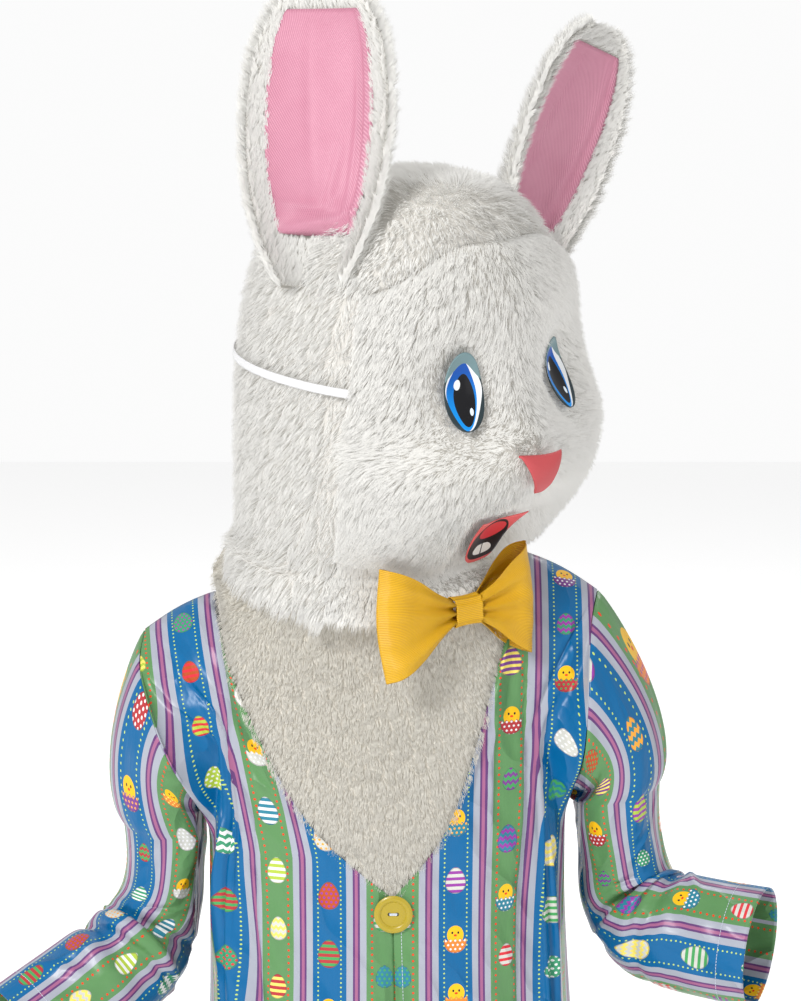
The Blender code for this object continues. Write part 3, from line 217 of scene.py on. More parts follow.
# The same columns, for what only the pile shows: cheeks, muzzle, bridge, jaw and eye hollows
FACE_PUFFS = (
    (0.085, 0.12, -0.125, 0.034, 0.034, 0.009), (-0.088, 0.12, -0.13, 0.036, 0.036, 0.01),
    (0.026, 0.16, -0.1, 0.02, 0.02, 0.006), (-0.03, 0.16, -0.1, 0.02, 0.02, 0.006),
    (0.0, 0.155, -0.025, 0.016, 0.04, 0.006), (-0.064, 0.128, -0.006, 0.03, 0.036, -0.006),
    (0.06, 0.128, -0.006, 0.028, 0.036, -0.006),
    (-0.09, 0.1, -0.2, 0.05, 0.016, -0.009),
    (0.09, 0.1, -0.2, 0.05, 0.016, -0.009),
)
FACE_SEAM_ANGLE = math.radians(64)
FACE_TOP = 3.1
FACE_FOOT = 10.15
FACE_TOP_DROP = 1.2
FACE_FOOT_LIFT = 0.7
FACE_STAND = 0.006
PILE_STAND = 0.0050
# How much of the pile grows away from the rim, its length beside the face's seam and at the rim as
# shares of the full one, and how near its roots come to a plate
FIELD_SHARE = 0.94
SEAM_PILE = 0.62
RIM_PILE = 1.7
PLATE_ROOM = 0.0055

# Ears: share of the ear's length, half width, how far the rims curl forward, thickness
EAR_SECTIONS = (
    (0.0, 0.016, 0.02, 0.014), (0.1, 0.034, 0.03, 0.016), (0.28, 0.056, 0.028, 0.015),
    (0.5, 0.068, 0.022, 0.014), (0.7, 0.067, 0.016, 0.013), (0.84, 0.058, 0.011, 0.012),
    (0.94, 0.041, 0.007, 0.011), (1.0, 0.018, 0.003, 0.009),
)
# foot, tip, and the way the lining faces, for the ear on the costume's right and left
EAR_RIGHT = ((-0.048, -0.142, 0.280), (-0.042, -0.096, 0.581), (-0.26, -0.96, 0.00))
EAR_LEFT = ((0.124, 0.050, 0.290), (0.229, 0.060, 0.538), (0.74, -0.67, -0.10))
EAR_START = 0.06
LIP_DEPTH = 0.0008
LINING_RISE = 0.0040

# Features: row and angle of the middle, half sizes in rows and in radians, thickness
EYE_RIGHT = (5.98, -0.41, 0.74, 0.165, 0.0020)
EYE_LEFT = (5.98, 0.37, 0.70, 0.140, 0.0020)
NOSE = (7.40, -0.045, 0.27, 0.115, 0.0060)
MOUTH = (9.12, -0.06, 0.78, 0.20, 0.0020)
PLATE_STEPS = 24
STRAP_ROW = 6.05
STRAP_HALF = 0.075

# Bow tie
BOW_ANGLE = -0.17
BOW_ROW = 12.9
BOW_DROP = 0.012
BOW_YAW = math.radians(34)
BOW_SLOPE = 0.07
BOW_STAND = 0.0108
KNOT_HALF = (0.017, 0.0150, 0.0105)
LOOP_LONG = {1: 0.066, -1: 0.086}
# share of the loop's length, half height, half depth
LOOP_SECTIONS = (
    (0.0, 0.0125, 0.0055), (0.25, 0.023, 0.01), (0.55, 0.04, 0.0125),
    (0.85, 0.052, 0.011), (1.0, 0.056, 0.003),
)
LOOP_PLEATS = 3
PLEAT_DEPTH = 0.0034

# Bib
BIB_BULGE = 0.018
BIB_TOP_FRONT = -0.124
BIB_TOP_HEIGHT = -0.015
BIB_NECK = 0.139
BIB_RIM_ROOM = 0.003
BIB_END_RISE = 0.026
BIB_FAR_DROP = 0.004
BIB_EDGE_OUT = 0.0050
BIB_EDGE_BACK = 0.001
BIB_FLAP_ROWS = 6
BIB_FLAP_STEP = (0, 0.003, 0.007)

BUTTON_HEIGHTS = (-0.314, -0.464, -0.614)
# radius, height of the button's outline
BUTTON_PROFILE = (
    (0.0, 0.0026), (0.012, 0.0026), (0.0135, 0.0044), (0.0165, 0.0048), (0.0188, 0.003),
    (0.018, 0.0006), (0.015, 0.0), (0.0, 0.0),
)

# Room at the seams, where the print starts round each sleeve, and the plain tube it is measured on:
# 1 is the costume's left
BODY_GAP = 0.0004
SLEEVE_GAP = {1: 0.0012, -1: 0.0022}
SLEEVE_PRINT = {1: 0.010, -1: 0.020}
PRINT_RADIUS = 0.056
# Topstitching: from stitch to stitch, length and half width
STITCH_PITCH = 0.0034
STITCH_LONG = 0.0024
STITCH_HALF = 0.0003
# column share, row share, half length, half width, turn in degrees, height out
CREASES = {
    "jacket_front_left": (
        (0.3, 0.62, 0.1, 0.012, 62, 0.0059), (0.52, 0.55, 0.14, 0.014, 70, -0.0059),
        (0.72, 0.5, 0.12, 0.016, 100, 0.0059), (0.2, 0.3, 0.12, 0.014, 95, 0.0043),
        (0.62, 0.4, 0.28, 0.014, 84, 0.0075), (0.68, 0.4, 0.26, 0.012, 80, -0.006),
        (0.5, 0.72, 0.12, 0.012, 120, -0.005),
    ),
    "jacket_front_right": (
        (0.45, 0.6, 0.12, 0.014, 112, 0.0068), (0.62, 0.52, 0.14, 0.014, 100, -0.0068),
        (0.3, 0.45, 0.12, 0.012, 80, 0.0051), (0.75, 0.35, 0.14, 0.016, 88, 0.0059),
        (0.7, 0.42, 0.3, 0.014, 97, 0.008), (0.76, 0.42, 0.28, 0.012, 100, -0.006),
        (0.55, 0.7, 0.12, 0.012, 55, -0.005),
    ),
    "jacket_back": (
        (0.25, 0.55, 0.12, 0.014, 75, 0.0059), (0.45, 0.4, 0.14, 0.012, 95, -0.0051),
        (0.6, 0.6, 0.12, 0.014, 100, 0.0059), (0.78, 0.45, 0.14, 0.014, 85, 0.0051),
    ),
    "sleeve_left": (
        (0.2, 0.3, 0.1, 0.016, 75, 0.0051), (0.28, 0.52, 0.06, 0.01, 20, -0.0059),
        (0.24, 0.8, 0.08, 0.012, 30, 0.0048), (0.75, 0.4, 0.1, 0.014, 80, 0.0051),
        (0.3, 0.6, 0.35, 0.011, 6, -0.007), (0.3, 0.64, 0.35, 0.012, -4, 0.006),
        (0.3, 0.69, 0.35, 0.012, 8, -0.006), (0.7, 0.62, 0.2, 0.012, -8, -0.005),
    ),
    "sleeve_right": (
        (0.22, 0.28, 0.1, 0.016, 100, 0.0051), (0.26, 0.5, 0.06, 0.01, -20, -0.0059),
        (0.22, 0.84, 0.08, 0.012, -30, 0.0048), (0.72, 0.42, 0.1, 0.014, 85, 0.0051),
        (0.3, 0.58, 0.35, 0.011, -6, -0.007), (0.3, 0.62, 0.35, 0.012, 5, 0.006),
        (0.3, 0.67, 0.35, 0.012, -8, -0.006), (0.7, 0.6, 0.2, 0.012, 8, -0.005),
    ),
    "ear_lining_left": (
        (0.5, 0.1, 0.35, 0.05, 8, 0.004), (0.78, 0.45, 0.4, 0.05, 84, 0.003),
        (0.3, 0.55, 0.3, 0.03, 80, -0.002), (0.5, 0.05, 0.6, 0.022, 4, 0.005),
        (0.93, 0.5, 0.6, 0.025, 90, 0.005),
    ),
    "ear_lining_right": (
        (0.5, 0.08, 0.4, 0.045, 6, 0.005), (0.84, 0.45, 0.45, 0.045, 86, 0.004),
        (0.4, 0.55, 0.3, 0.03, 96, -0.0022), (0.62, 0.25, 0.2, 0.03, 70, 0.0025),
        (0.5, 0.05, 0.6, 0.022, 5, 0.006), (0.45, 0.12, 0.4, 0.02, -8, -0.004),
        (0.93, 0.5, 0.6, 0.025, 90, 0.006), (0.86, 0.45, 0.5, 0.02, 87, -0.004),
    ),
}

# name, place, size and power of each light
LIGHTS = (
    ("key", (-1.6, -3.0, 2.0), 0.8, 100.0),
    ("fill", (2.4, -2.4, 0.8), 2.2, 11.0),
    ("rim", (0.6, 2.6, 2.4), 1.6, 32.0),
)
# How strongly the white surroundings light the scene, how bright they look behind it, and the
# floor's own faint light, which keeps it near white
SKY_LIGHT = 0.66
SKY_SEEN = 0.97
FLOOR_GLOW = 0.28
# The camera: how far and how steeply it looks down, the middle of its view, its sensor in
# millimetres, and the length at the costume that the frame's long side spans
CAMERA_FAR = 3.4
CAMERA_TILT = math.radians(9.0)
VIEW_X = 0.0295
VIEW_HEIGHT = 0.0705
SENSOR = 36.0
FRAME_LONG = 1.001


# Curves and grids

def through(table: Table, at: float) -> np.ndarray:
    """The other columns of a table at a value of its first, rising one, on a smooth curve."""
    rows = np.asarray(table, float)
    return through_many(rows[:, 0], rows[:, 1:], np.array([at]))[0]


def through_many(key: np.ndarray, value: np.ndarray, at: np.ndarray) -> np.ndarray:
    """Values of a smooth curve through rows at many keys.

    Args:
        key: Rising keys.
        value: A row of values for each key.
        at: The keys to read at.

    Returns:
        A row of values for each of at.
    """
    slope = np.gradient(value, key, axis=0)
    at = np.clip(at, key[0], key[-1])
    i = np.clip(np.searchsorted(key, at, side="right") - 1, 0, len(key) - 2)
    step = key[i + 1] - key[i]
    t = ((at - key[i]) / step).reshape(-1, *([1] * (value.ndim - 1)))
    step = step.reshape(t.shape)
    return (
        (1 + 2 * t) * (1 - t) ** 2 * value[i]
        + t * (1 - t) ** 2 * step * slope[i]
        + t * t * (3 - 2 * t) * value[i + 1]
        + t * t * (t - 1) * step * slope[i + 1]
    )


def along(points: Table, count: int) -> np.ndarray:
    """Evenly spaced points on the smooth curve through some points.

    Args:
        points: The points to pass through.
        count: How many points to return.

    Returns:
        The points.
    """
    points = np.asarray(points, float)
    key = run_of(points)
    return through_many(key, points, np.linspace(0, key[-1], count))


def run_of(line: np.ndarray) -> np.ndarray:
    """How far along a line each of its points lies."""
    return np.concatenate([[0], np.cumsum(np.linalg.norm(np.diff(line, axis=0), axis=1))])


def ease(value: float, low: float, high: float) -> float:
    """A smooth step."""
    t = np.clip((np.asarray(value, float) - low) / (high - low), 0.0, 1.0)
    return t * t * (3 - 2 * t)


def unit(vectors: np.ndarray) -> np.ndarray:
    """Vectors made one long."""
    vectors = np.asarray(vectors, float)
    return vectors / np.maximum(np.linalg.norm(vectors, axis=-1, keepdims=True), 1e-12)


def rounded(value: float, power: float) -> float:
    """A sine or cosine bent towards a rounded square's."""
    return math.copysign(abs(value) ** (2 / power), value)


def normals_of(grid: np.ndarray, middle: np.ndarray, around: bool = False) -> np.ndarray:
    """Outward directions at the points of a grid.

    Args:
        grid: Rows and columns of points.
        middle: A point, or a line of points, that the surface faces away from.
        around: Whether each row is a closed ring.

    Returns:
        A unit direction for each point.
    """
    if around:
        across = np.roll(grid, -1, axis=1) - np.roll(grid, 1, axis=1)
    else:
        across = np.gradient(grid, axis=1)
    ways = unit(np.cross(across, np.gradient(grid, axis=0)))
    return -ways if ((grid - middle) * ways).sum() < 0 else ways


def rim_height(x: float) -> float:
    """How high the mask's lower edge lies at a place across."""
    across = x / SKIRT_ROWS[-1][2]
    return RIM_FRONT + RIM_RISE * across * across * (1 + RIM_LEAN * across)


def add_piece(mesh: Mesh, finish: Material) -> Object:
    """Puts a mesh in the scene.

    Args:
        mesh: The mesh.
        finish: Its material.

    Returns:
        An object of the same name.
    """
    mesh.materials.append(finish)
    piece = bpy.data.objects.new(mesh.name, mesh)
    bpy.context.scene.collection.objects.link(piece)
    return piece


class Cut:
    """The jacket's cut: where its cloth runs in space."""

    def torso_point(self, height: float, angle: float) -> np.ndarray:
        """A point of the body's ring.

        Args:
            height: Its height.
            angle: From the front, growing to the costume's left.

        Returns:
            The point.
        """
        middle, half, front, back = through(TORSO, height)
        side, face = math.sin(angle), math.cos(angle)
        depth = front if face > 0 else back
        bulge = self.body_fold(height, math.degrees(angle) % 360)
        x = middle + (half + bulge) * rounded(side, RING_POWER)
        y = -(depth + bulge) * rounded(face, RING_POWER)
        return np.array((x, y, height))

    def body_fold(self, height: float, degrees: float) -> float:
        """How far the long hanging folds stand out of the body's cloth.

        Args:
            height: The height.
            degrees: The ring angle.

        Returns:
            The distance outwards.
        """
        total = 0.0
        for at, top, foot, width, rise, drift in BODY_FOLDS:
            share = (top - height) / (top - foot)
            if share <= 0:
                continue
            off = (degrees - (at + drift * share) + 180) % 360 - 180
            swell = ease(share, 0.0, 0.35) * (1 - 0.45 * ease(share, 0.8, 1.3))
            total += rise * swell * math.exp(-((off / width) ** 2))
        seam = min(abs(degrees - 90), abs(degrees - 270))
        front = abs((degrees + 180) % 360 - 180)
        return total * ease(seam, 1.5, 9.0) * ease(front, 10.0, 20.0)

    def neckline_point(self, side: int, share: float) -> np.ndarray:
        """A point of the V neckline.

        Args:
            side: 1 for the costume's left, -1 for the right.
            share: 0 at the V's tip and 1 at the shoulder.

        Returns:
            The point.
        """
        table = [(i / (len(NECKLINE) - 1), *row) for i, row in enumerate(NECKLINE)]
        half, y, height = through(table, share)
        x = side * half + through(V_MIDDLE, height)[0]
        return np.array((x, y, height + side * TILT * ease(share, 0.3, 1.0)))

    def shoulder_point(self, side: int, share: float) -> np.ndarray:
        """A point of the shoulder seam, from the neck to the tip.

        Args:
            side: 1 for the costume's left, -1 for the right.
            share: 0 at the neck and 1 at the tip.

        Returns:
            The point.
        """
        neck = self.neckline_point(side, 1.0)
        tip = np.array((side * SHOULDER_TIP[0], SHOULDER_TIP[1], SHOULDER_TIP[2] + side * TILT))
        return neck + (tip - neck) * share + np.array((0, 0, 0.004 * math.sin(math.pi * share)))

    def ring_angle(self, x: float, height: float) -> float:
        """The ring angle at which the front of the body passes through x.

        Args:
            x: Across.
            height: The height.

        Returns:
            The angle.
        """
        middle, half = through(TORSO, height)[:2]
        share = min(max((x - middle) / half, -1.0), 1.0)
        return math.asin(math.copysign(abs(share) ** (RING_POWER / 2), share))

    def column(self, angle: float, top: np.ndarray, arrive: Sequence[float]) -> np.ndarray:
        """A line of points from the hem up the body to a point of the upper edge.

        Args:
            angle: The ring angle it rises at.
            top: Where it ends.
            arrive: The way it runs in at its end.

        Returns:
            The points.
        """
        turn = min(CHEST_Z, top[2] - TURN_DROP)
        lower = [self.torso_point(z, angle) for z in np.linspace(HEM_Z, turn, LOWER_ROWS + 1)]
        start = lower[-1]
        reach = np.linalg.norm(top - start)
        leave = unit(start - self.torso_point(turn - 0.02, angle)) * reach
        t = np.linspace(0, 1, UPPER_ROWS + 1)[1:, None]
        upper = (
            (1 + 2 * t) * (1 - t) ** 2 * start
            + t * (1 - t) ** 2 * leave
            + t * t * (3 - 2 * t) * top
            + t * t * (t - 1) * unit(arrive) * reach
        )
        return np.concatenate([lower, upper])

    def front_grid(self, side: int, armhole: Table) -> np.ndarray:
        """Points of one front's cloth, from the closing edge to the side seam.

        Args:
            side: 1 for the costume's left, -1 for the right.
            armhole: The front half of its sleeve seam.

        Returns:
            Rows from the hem up, and columns.
        """
        columns = []
        start = CHEST_TIP_ANGLE
        chest_tip = abs(self.torso_point(CHEST_Z, side * start)[0])
        for share in np.linspace(0, 1, NECK_COLUMNS + 1)[:-1]:
            top = self.neckline_point(side, share)
            height = max(HEM_Z, min(CHEST_Z, top[2]))
            x = CLOSURE_X + (top[0] - CLOSURE_X) * (1 - 0.14 * ease(share, 0.3, 1.0))
            back = ease(share, 0.45, 1.0)
            columns.append(self.column(self.ring_angle(x, height), top, (0, back, 1 - 0.7 * back)))
        neck_x = abs(self.neckline_point(side, 1.0)[0]) * 0.86
        for share in np.linspace(0, 1, SHOULDER_COLUMNS + 1)[:-1]:
            angle = self.ring_angle(side * (neck_x + (chest_tip - neck_x) * share), CHEST_Z)
            columns.append(self.column(angle, self.shoulder_point(side, share), (0, 1, 0.2)))
        for share, top in zip(np.linspace(0, 1, ARM_COLUMNS + 1), along(armhole, ARM_COLUMNS + 1)):
            angle = side * (math.pi / 2 - (math.pi / 2 - start) * (1 - share) ** ARM_CROWDING)
            back = 1 - ease(share, 0.0, 0.35)
            columns.append(self.column(angle, top, (side * 0.25 * (1 - share), back, 1 - 0.8 * back)))
        return np.array(columns).transpose(1, 0, 2)

    def back_grid(self, left: Table, right: Table) -> np.ndarray:
        """Points of the back's cloth, from the costume's left side seam to the right one.

        Args:
            left: The back half of the left sleeve seam.
            right: The back half of the right one.

        Returns:
            Rows from the hem up, and columns.
        """
        columns = []
        tip, neck = math.radians(128), math.radians(146)
        for share, top in zip(np.linspace(0, 1, ARM_COLUMNS + 1), along(left, ARM_COLUMNS + 1)[::-1]):
            back = ease(share, 0.65, 1.0)
            angle = math.pi / 2 + (tip - math.pi / 2) * share ** ARM_CROWDING
            columns.append(self.column(angle, top, (0.1, -back, 1 - 0.8 * back)))
        for share in np.linspace(0, 1, SHOULDER_COLUMNS + 1)[1:]:
            angle = tip + (neck - tip) * share
            columns.append(self.column(angle, self.shoulder_point(1, 1 - share), (0, -1, 0.2)))
        neckline = [(x, y, z + TILT * x / BACK_NECK[0][0]) for x, y, z in BACK_NECK]
        neckline = along(neckline, BACK_NECK_COLUMNS + 1)
        for share, top in list(zip(np.linspace(0, 1, BACK_NECK_COLUMNS + 1), neckline))[1:]:
            columns.append(self.column(neck + (2 * math.pi - 2 * neck) * share, top, (0, -0.7, 0.7)))
        for share in np.linspace(0, 1, SHOULDER_COLUMNS + 1)[1:]:
            angle = 2 * math.pi - neck + (neck - tip) * share
            columns.append(self.column(angle, self.shoulder_point(-1, share), (0, -1, 0.2)))
        for share, top in list(zip(np.linspace(0, 1, ARM_COLUMNS + 1), along(right, ARM_COLUMNS + 1)))[1:]:
            back = 1 - ease(share, 0.0, 0.35)
            angle = 3 * math.pi / 2 - (tip - math.pi / 2) * (1 - share) ** ARM_CROWDING
            columns.append(self.column(angle, top, (-0.1, -back, 1 - 0.8 * back)))
        return np.array(columns).transpose(1, 0, 2)

    def sleeve_fold(self, folds: Table, degrees: float, share: float) -> float:
        """How far the sleeve's folds stand out of its cloth.

        Args:
            folds: The sleeve's table of folds.
            degrees: Round the sleeve.
            share: Down the sleeve.

        Returns:
            The distance outwards.
        """
        total = 0.0
        for at, place, width, length, rise, slant in folds:
            off = (degrees - (at + slant * (share - place)) + 180) % 360 - 180
            total += rise * math.exp(-((off / width) ** 2) - ((share - place) / length) ** 2)
        return total * ease(share, 0.04, 0.14) * (1 - ease(share, 0.95, 1.0))

    def sleeve_grid(self, side: int, armhole: np.ndarray, path: Table,
                    folds: Table) -> Tuple[np.ndarray, np.ndarray]:
        """Rings of one sleeve's cloth, from the armhole to the cuff.

        Args:
            side: 1 for the costume's left, -1 for the right.
            armhole: The closed line of the armhole.
            path: The sleeve's middle line.
            folds: The sleeve's table of folds.

        Returns:
            The rings, and the middle of each.
        """
        start = armhole.mean(axis=0)
        middles = along([start, *path], SLEEVE_KNOTS)
        for _ in range(4):
            middles[1:-1] = (middles[:-2] + 2 * middles[1:-1] + middles[2:]) / 4
        key = np.arange(float(SLEEVE_KNOTS))
        middles = through_many(key, middles, np.linspace(0, SLEEVE_KNOTS - 1, SLEEVE_ROWS + 1))
        ways = unit(np.gradient(middles, axis=0))
        count = len(armhole)
        rings = []
        for k, (middle, way) in enumerate(zip(middles, ways)):
            share = k / SLEEVE_ROWS
            girth_out, girth_front = through(SLEEVE_GIRTH, share)
            out = unit(np.array((side, 0, 0)) - way * way[0] * side)
            front = np.cross(way, out) * side
            room = 0.0
            if 0 < share < ARMPIT_END:
                room = ARMPIT_ROOM * math.sin(math.pi * share / ARMPIT_END) ** 0.6
            ring = []
            for j in range(count):
                turn = 2 * math.pi * j / count
                reach = SLEEVE_EASE_IN * (1 + 0.25 * (1 - math.cos(turn)))
                settle = math.sin(math.pi / 2 * min(share / reach, 1.0))
                bulge = self.sleeve_fold(folds, math.degrees(turn), share)
                round_point = middle + out * (girth_out + bulge) * math.cos(turn)
                round_point = round_point + front * (girth_front + bulge) * math.sin(turn)
                seam_point = armhole[j] + (middle - start)
                ring.append(seam_point + (round_point - seam_point) * settle + np.array((side * room, 0, 0)))
            rings.append(ring)
        return self.clear_of_body(np.array(rings)), middles

    def clear_of_body(self, grid: np.ndarray) -> np.ndarray:
        """Moves a sleeve's points sideways until they stand just clear of the body's cloth.

        Args:
            grid: The sleeve's rings.

        Returns:
            The same rings, moved.
        """
        for row in grid[SIDE_ROOM_FROM_ROW:]:
            for p in row:
                if p[2] > SIDE_ROOM_TOP or p[2] < HEM_Z:
                    continue
                middle, half, front, back = through(TORSO, p[2])
                share = min(abs(p[1]) / (front if p[1] < 0 else back), 0.999)
                edge = (half + 0.012) * (1 - share ** RING_POWER) ** (1 / RING_POWER) + SIDE_ROOM
                if abs(p[0] - middle) < edge:
                    p[0] = middle + math.copysign(edge, p[0] - middle)
        return grid

    def underlap(self, grid: np.ndarray) -> np.ndarray:
        """Adds the strip of the right front that lies under the left front's closing edge.

        Args:
            grid: The right front.

        Returns:
            The front with its strip.
        """
        edge = grid[:, 0]
        way = unit(edge - grid[:, 1])
        out = np.array((0, -1.0, 0))
        far = []
        for p in edge:
            height = min(max(p[2], HEM_Z), CHEST_Z)
            under = self.torso_point(height, self.ring_angle(CLOSURE_X + UNDERLAP, height))
            far.append(under - out * UNDERLAP_DROP)
        drop = edge - way * 0.0005 - out * UNDERLAP_DROP
        added = [column[:, None] for column in (np.array(far), drop, edge - way * 0.004)]
        return np.concatenate([*added, grid[:, 2:]], 1)


class Head:
    """The mask's surface: rings from the crown to the rim, with cheeks, muzzle and brow standing out."""

    def __init__(self) -> None:
        """Sets out the head's own directions."""
        left = np.array((math.cos(HEAD_YAW), math.sin(HEAD_YAW), 0))
        forward = np.array((math.sin(HEAD_YAW), -math.cos(HEAD_YAW), 0))
        up = np.array((0, 0, 1.0))
        self.level = (left, forward)
        self.forward = forward * math.cos(HEAD_PITCH) - up * math.sin(HEAD_PITCH)
        up = up * math.cos(HEAD_PITCH) + forward * math.sin(HEAD_PITCH)
        self.left = left * math.cos(HEAD_ROLL) + up * math.sin(HEAD_ROLL)
        self.up = up * math.cos(HEAD_ROLL) - left * math.sin(HEAD_ROLL)
        self.rings = len(HEAD_ROWS) + len(SKIRT_ROWS)

    def ring(self, row: int, angle: float) -> np.ndarray:
        """A point on one of the mask's rings.

        Args:
            row: Which ring, 0 at the crown.
            angle: From the face, growing to the costume's left.

        Returns:
            The point.
        """
        side, face = rounded(math.sin(angle), HEAD_POWER), rounded(math.cos(angle), HEAD_POWER)
        if row < len(HEAD_ROWS):
            up, middle, half, front, back = HEAD_ROWS[row]
            depth = middle + (front if face > 0 else back) * face
            return HEAD_CENTRE + self.left * half * side + self.forward * depth + self.up * up
        share, middle, half, front, back = SKIRT_ROWS[row - len(HEAD_ROWS)]
        point = self.level[0] * half * side + self.level[1] * (middle + (front if face > 0 else back) * face)
        start = self.ring(len(HEAD_ROWS) - 1, angle)[2]
        rim = min(rim_height(point[0]), start - SKIRT_LEAST)
        return point + np.array((0, 0, start + (rim - start) * share))

    def form(self, points: np.ndarray) -> np.ndarray:
        """How far cheeks, muzzle, brow and chin stand out of the plain head.

        Args:
            points: Points in the last axis.

        Returns:
            A distance for each.
        """
        local = points - HEAD_CENTRE
        at = np.stack([local @ self.left, local @ self.forward, local @ self.up], -1)
        total = np.zeros(points.shape[:-1])
        for left, forward, up, wide, tall, rise in FACE_FORMS + FACE_PUFFS:
            across = np.hypot(at[..., 0] - left, at[..., 1] - forward)
            total += rise * np.exp(-((across / wide) ** 2) / 2 - ((at[..., 2] - up) / tall) ** 2 / 2)
        return total

    def surface(self, rows: np.ndarray, angles: np.ndarray) -> np.ndarray:
        """Points of the mask's fur surface.

        Args:
            rows: A row number for each point, in lines and columns.
            angles: An angle for each column.

        Returns:
            The points, in the same lines and columns.
        """
        key = np.arange(float(self.rings))
        columns = []
        for j, angle in enumerate(angles):
            ring = np.array([self.ring(i, angle) for i in range(self.rings)])
            points = through_many(key, ring, rows[:, j])
            away = unit(self.left * math.sin(angle) + self.forward * math.cos(angle))
            columns.append(points + away * self.form(points)[:, None])
        return np.array(columns).transpose(1, 0, 2)

    def seam_rows(self, bands: np.ndarray, angles: np.ndarray) -> np.ndarray:
        """Row numbers for bands that run 0 to 1 over the crown, to 2 down the face and to 3 down the skirt.

        Args:
            bands: The bands.
            angles: The angles.

        Returns:
            A row number for each band and angle.
        """
        made = []
        for angle in angles:
            turn = abs((angle + math.pi) % (2 * math.pi) - math.pi) / FACE_SEAM_ANGLE
            edge = ease(turn, 0.25, 1.05)
            marks = (0, FACE_TOP + FACE_TOP_DROP * edge, FACE_FOOT - FACE_FOOT_LIFT * edge, self.rings - 1)
            made.append(np.interp(bands, (0, 1, 2, 3), marks))
        return np.array(made).T

    def patch(self, spec: "Patch", side: int) -> np.ndarray:
        """Points of a patch of the mask.

        Args:
            spec: Where it is and how big.
            side: How many points it has each way.

        Returns:
            The points.
        """
        angles = np.linspace(spec.angle - spec.wide, spec.angle + spec.wide, side)
        rows = np.linspace(spec.row - spec.tall, spec.row + spec.tall, side)
        return self.surface(np.repeat(rows[:, None], side, 1), angles)


@dataclass(frozen=True)
class Patch:
    """A piece laid on the mask: its middle as row and angle, half sizes, and thickness."""

    row: float
    angle: float
    tall: float
    wide: float
    thick: float


# Shader graphs

def linear(red: int, green: int, blue: int) -> Colour:
    """A screen colour as the renderer's own.

    Args:
        red: 0 to 255.
        green: 0 to 255.
        blue: 0 to 255.

    Returns:
        The linear colour.
    """
    made = []
    for value in (red, green, blue):
        c = value / 255
        made.append(c / 12.92 if c <= 0.04045 else ((c + 0.055) / 1.055) ** 2.4)
    return tuple(made)


class Graph:
    """A node tree of a material or of the world, with one way to add a node."""

    def __init__(self, name: str, world: bool = False) -> None:
        """Starts a material or a world.

        Args:
            name: Its name.
            world: Whether it is the world.
        """
        self.owner = (bpy.data.worlds if world else bpy.data.materials).new(name)
        self.owner.use_nodes = True
        self.tree = self.owner.node_tree
        self.shader = self.tree.nodes["Background" if world else "Principled BSDF"]

    def node(self, kind: str, settings: Optional[Dict] = None,
             inputs: Optional[Dict] = None) -> bpy.types.Node:
        """Adds a node.

        Args:
            kind: Its type.
            settings: Its own settings.
            inputs: Values or links for its sockets, by name or number.

        Returns:
            The node.
        """
        made = self.tree.nodes.new(kind)
        for key, value in (settings or {}).items():
            setattr(made, key, value)
        for key, value in (inputs or {}).items():
            self.feed(made.inputs[key], value)
        return made

    def feed(self, socket: Socket, value: object) -> None:
        """Links or sets one socket.

        Args:
            socket: The socket.
            value: A Value, a socket, or a plain number or colour.
        """
        if isinstance(value, Value):
            value = value.socket
        if isinstance(value, Socket):
            self.tree.links.new(value, socket)
        elif isinstance(value, tuple) and len(value) == 3 and socket.type == "RGBA":
            socket.default_value = (*value, 1)
        else:
            socket.default_value = value

    def math(self, operation: str, *values: object) -> "Value":
        """A sum of one to three values."""
        made = self.node("ShaderNodeMath", {"operation": operation}, dict(enumerate(values)))
        return Value(self, made.outputs[0])

    def mix(self, share: object, low: object, high: object) -> Socket:
        """Mixes two colours, by a share that is 0 for the first and 1 for the second."""
        return self.node("ShaderNodeMix", {"data_type": "RGBA"}, {0: share, 6: low, 7: high}).outputs[2]

    def flat(self) -> Tuple["Value", "Value"]:
        """The cloth's own flat measure.

        Returns:
            Across and along, in metres.
        """
        uv = self.node("ShaderNodeUVMap", {"uv_map": MAP})
        parts = self.node("ShaderNodeSeparateXYZ", inputs={0: uv.outputs[0]})
        return Value(self, parts.outputs[0]), Value(self, parts.outputs[1])

    def place(self, x: object, y: object) -> Socket:
        """Joins two values to one place."""
        return self.node("ShaderNodeCombineXYZ", inputs={0: x, 1: y}).outputs[0]

    def noise(self, scale: float, detail: float, vector: object = None) -> "Value":
        """Smooth noise.

        Args:
            scale: How fine.
            detail: How many finer layers.
            vector: Where to read it, the object's own place if left out.

        Returns:
            A value near a half.
        """
        if vector is None:
            vector = self.node("ShaderNodeTexCoord").outputs["Object"]
        made = self.node("ShaderNodeTexNoise", inputs={"Vector": vector, "Scale": scale, "Detail": detail})
        return Value(self, made.outputs[0])

    def bump(self, height: object, distance: float, strength: float) -> None:
        """Gives the material a fine relief.

        Args:
            height: The relief.
            distance: How deep a height of 1 is, in metres.
            strength: How much of it shows.
        """
        inputs = {"Height": height, "Distance": distance, "Strength": strength}
        made = self.node("ShaderNodeBump", inputs=inputs)
        self.feed(self.shader.inputs["Normal"], made.outputs[0])

    def finish(self, **inputs: object) -> Material:
        """Sets the shader's sockets.

        Args:
            inputs: Values by socket name, with underscores for spaces.

        Returns:
            The material or world.
        """
        for key, value in inputs.items():
            self.feed(self.shader.inputs[key.replace("_", " ")], value)
        return self.owner


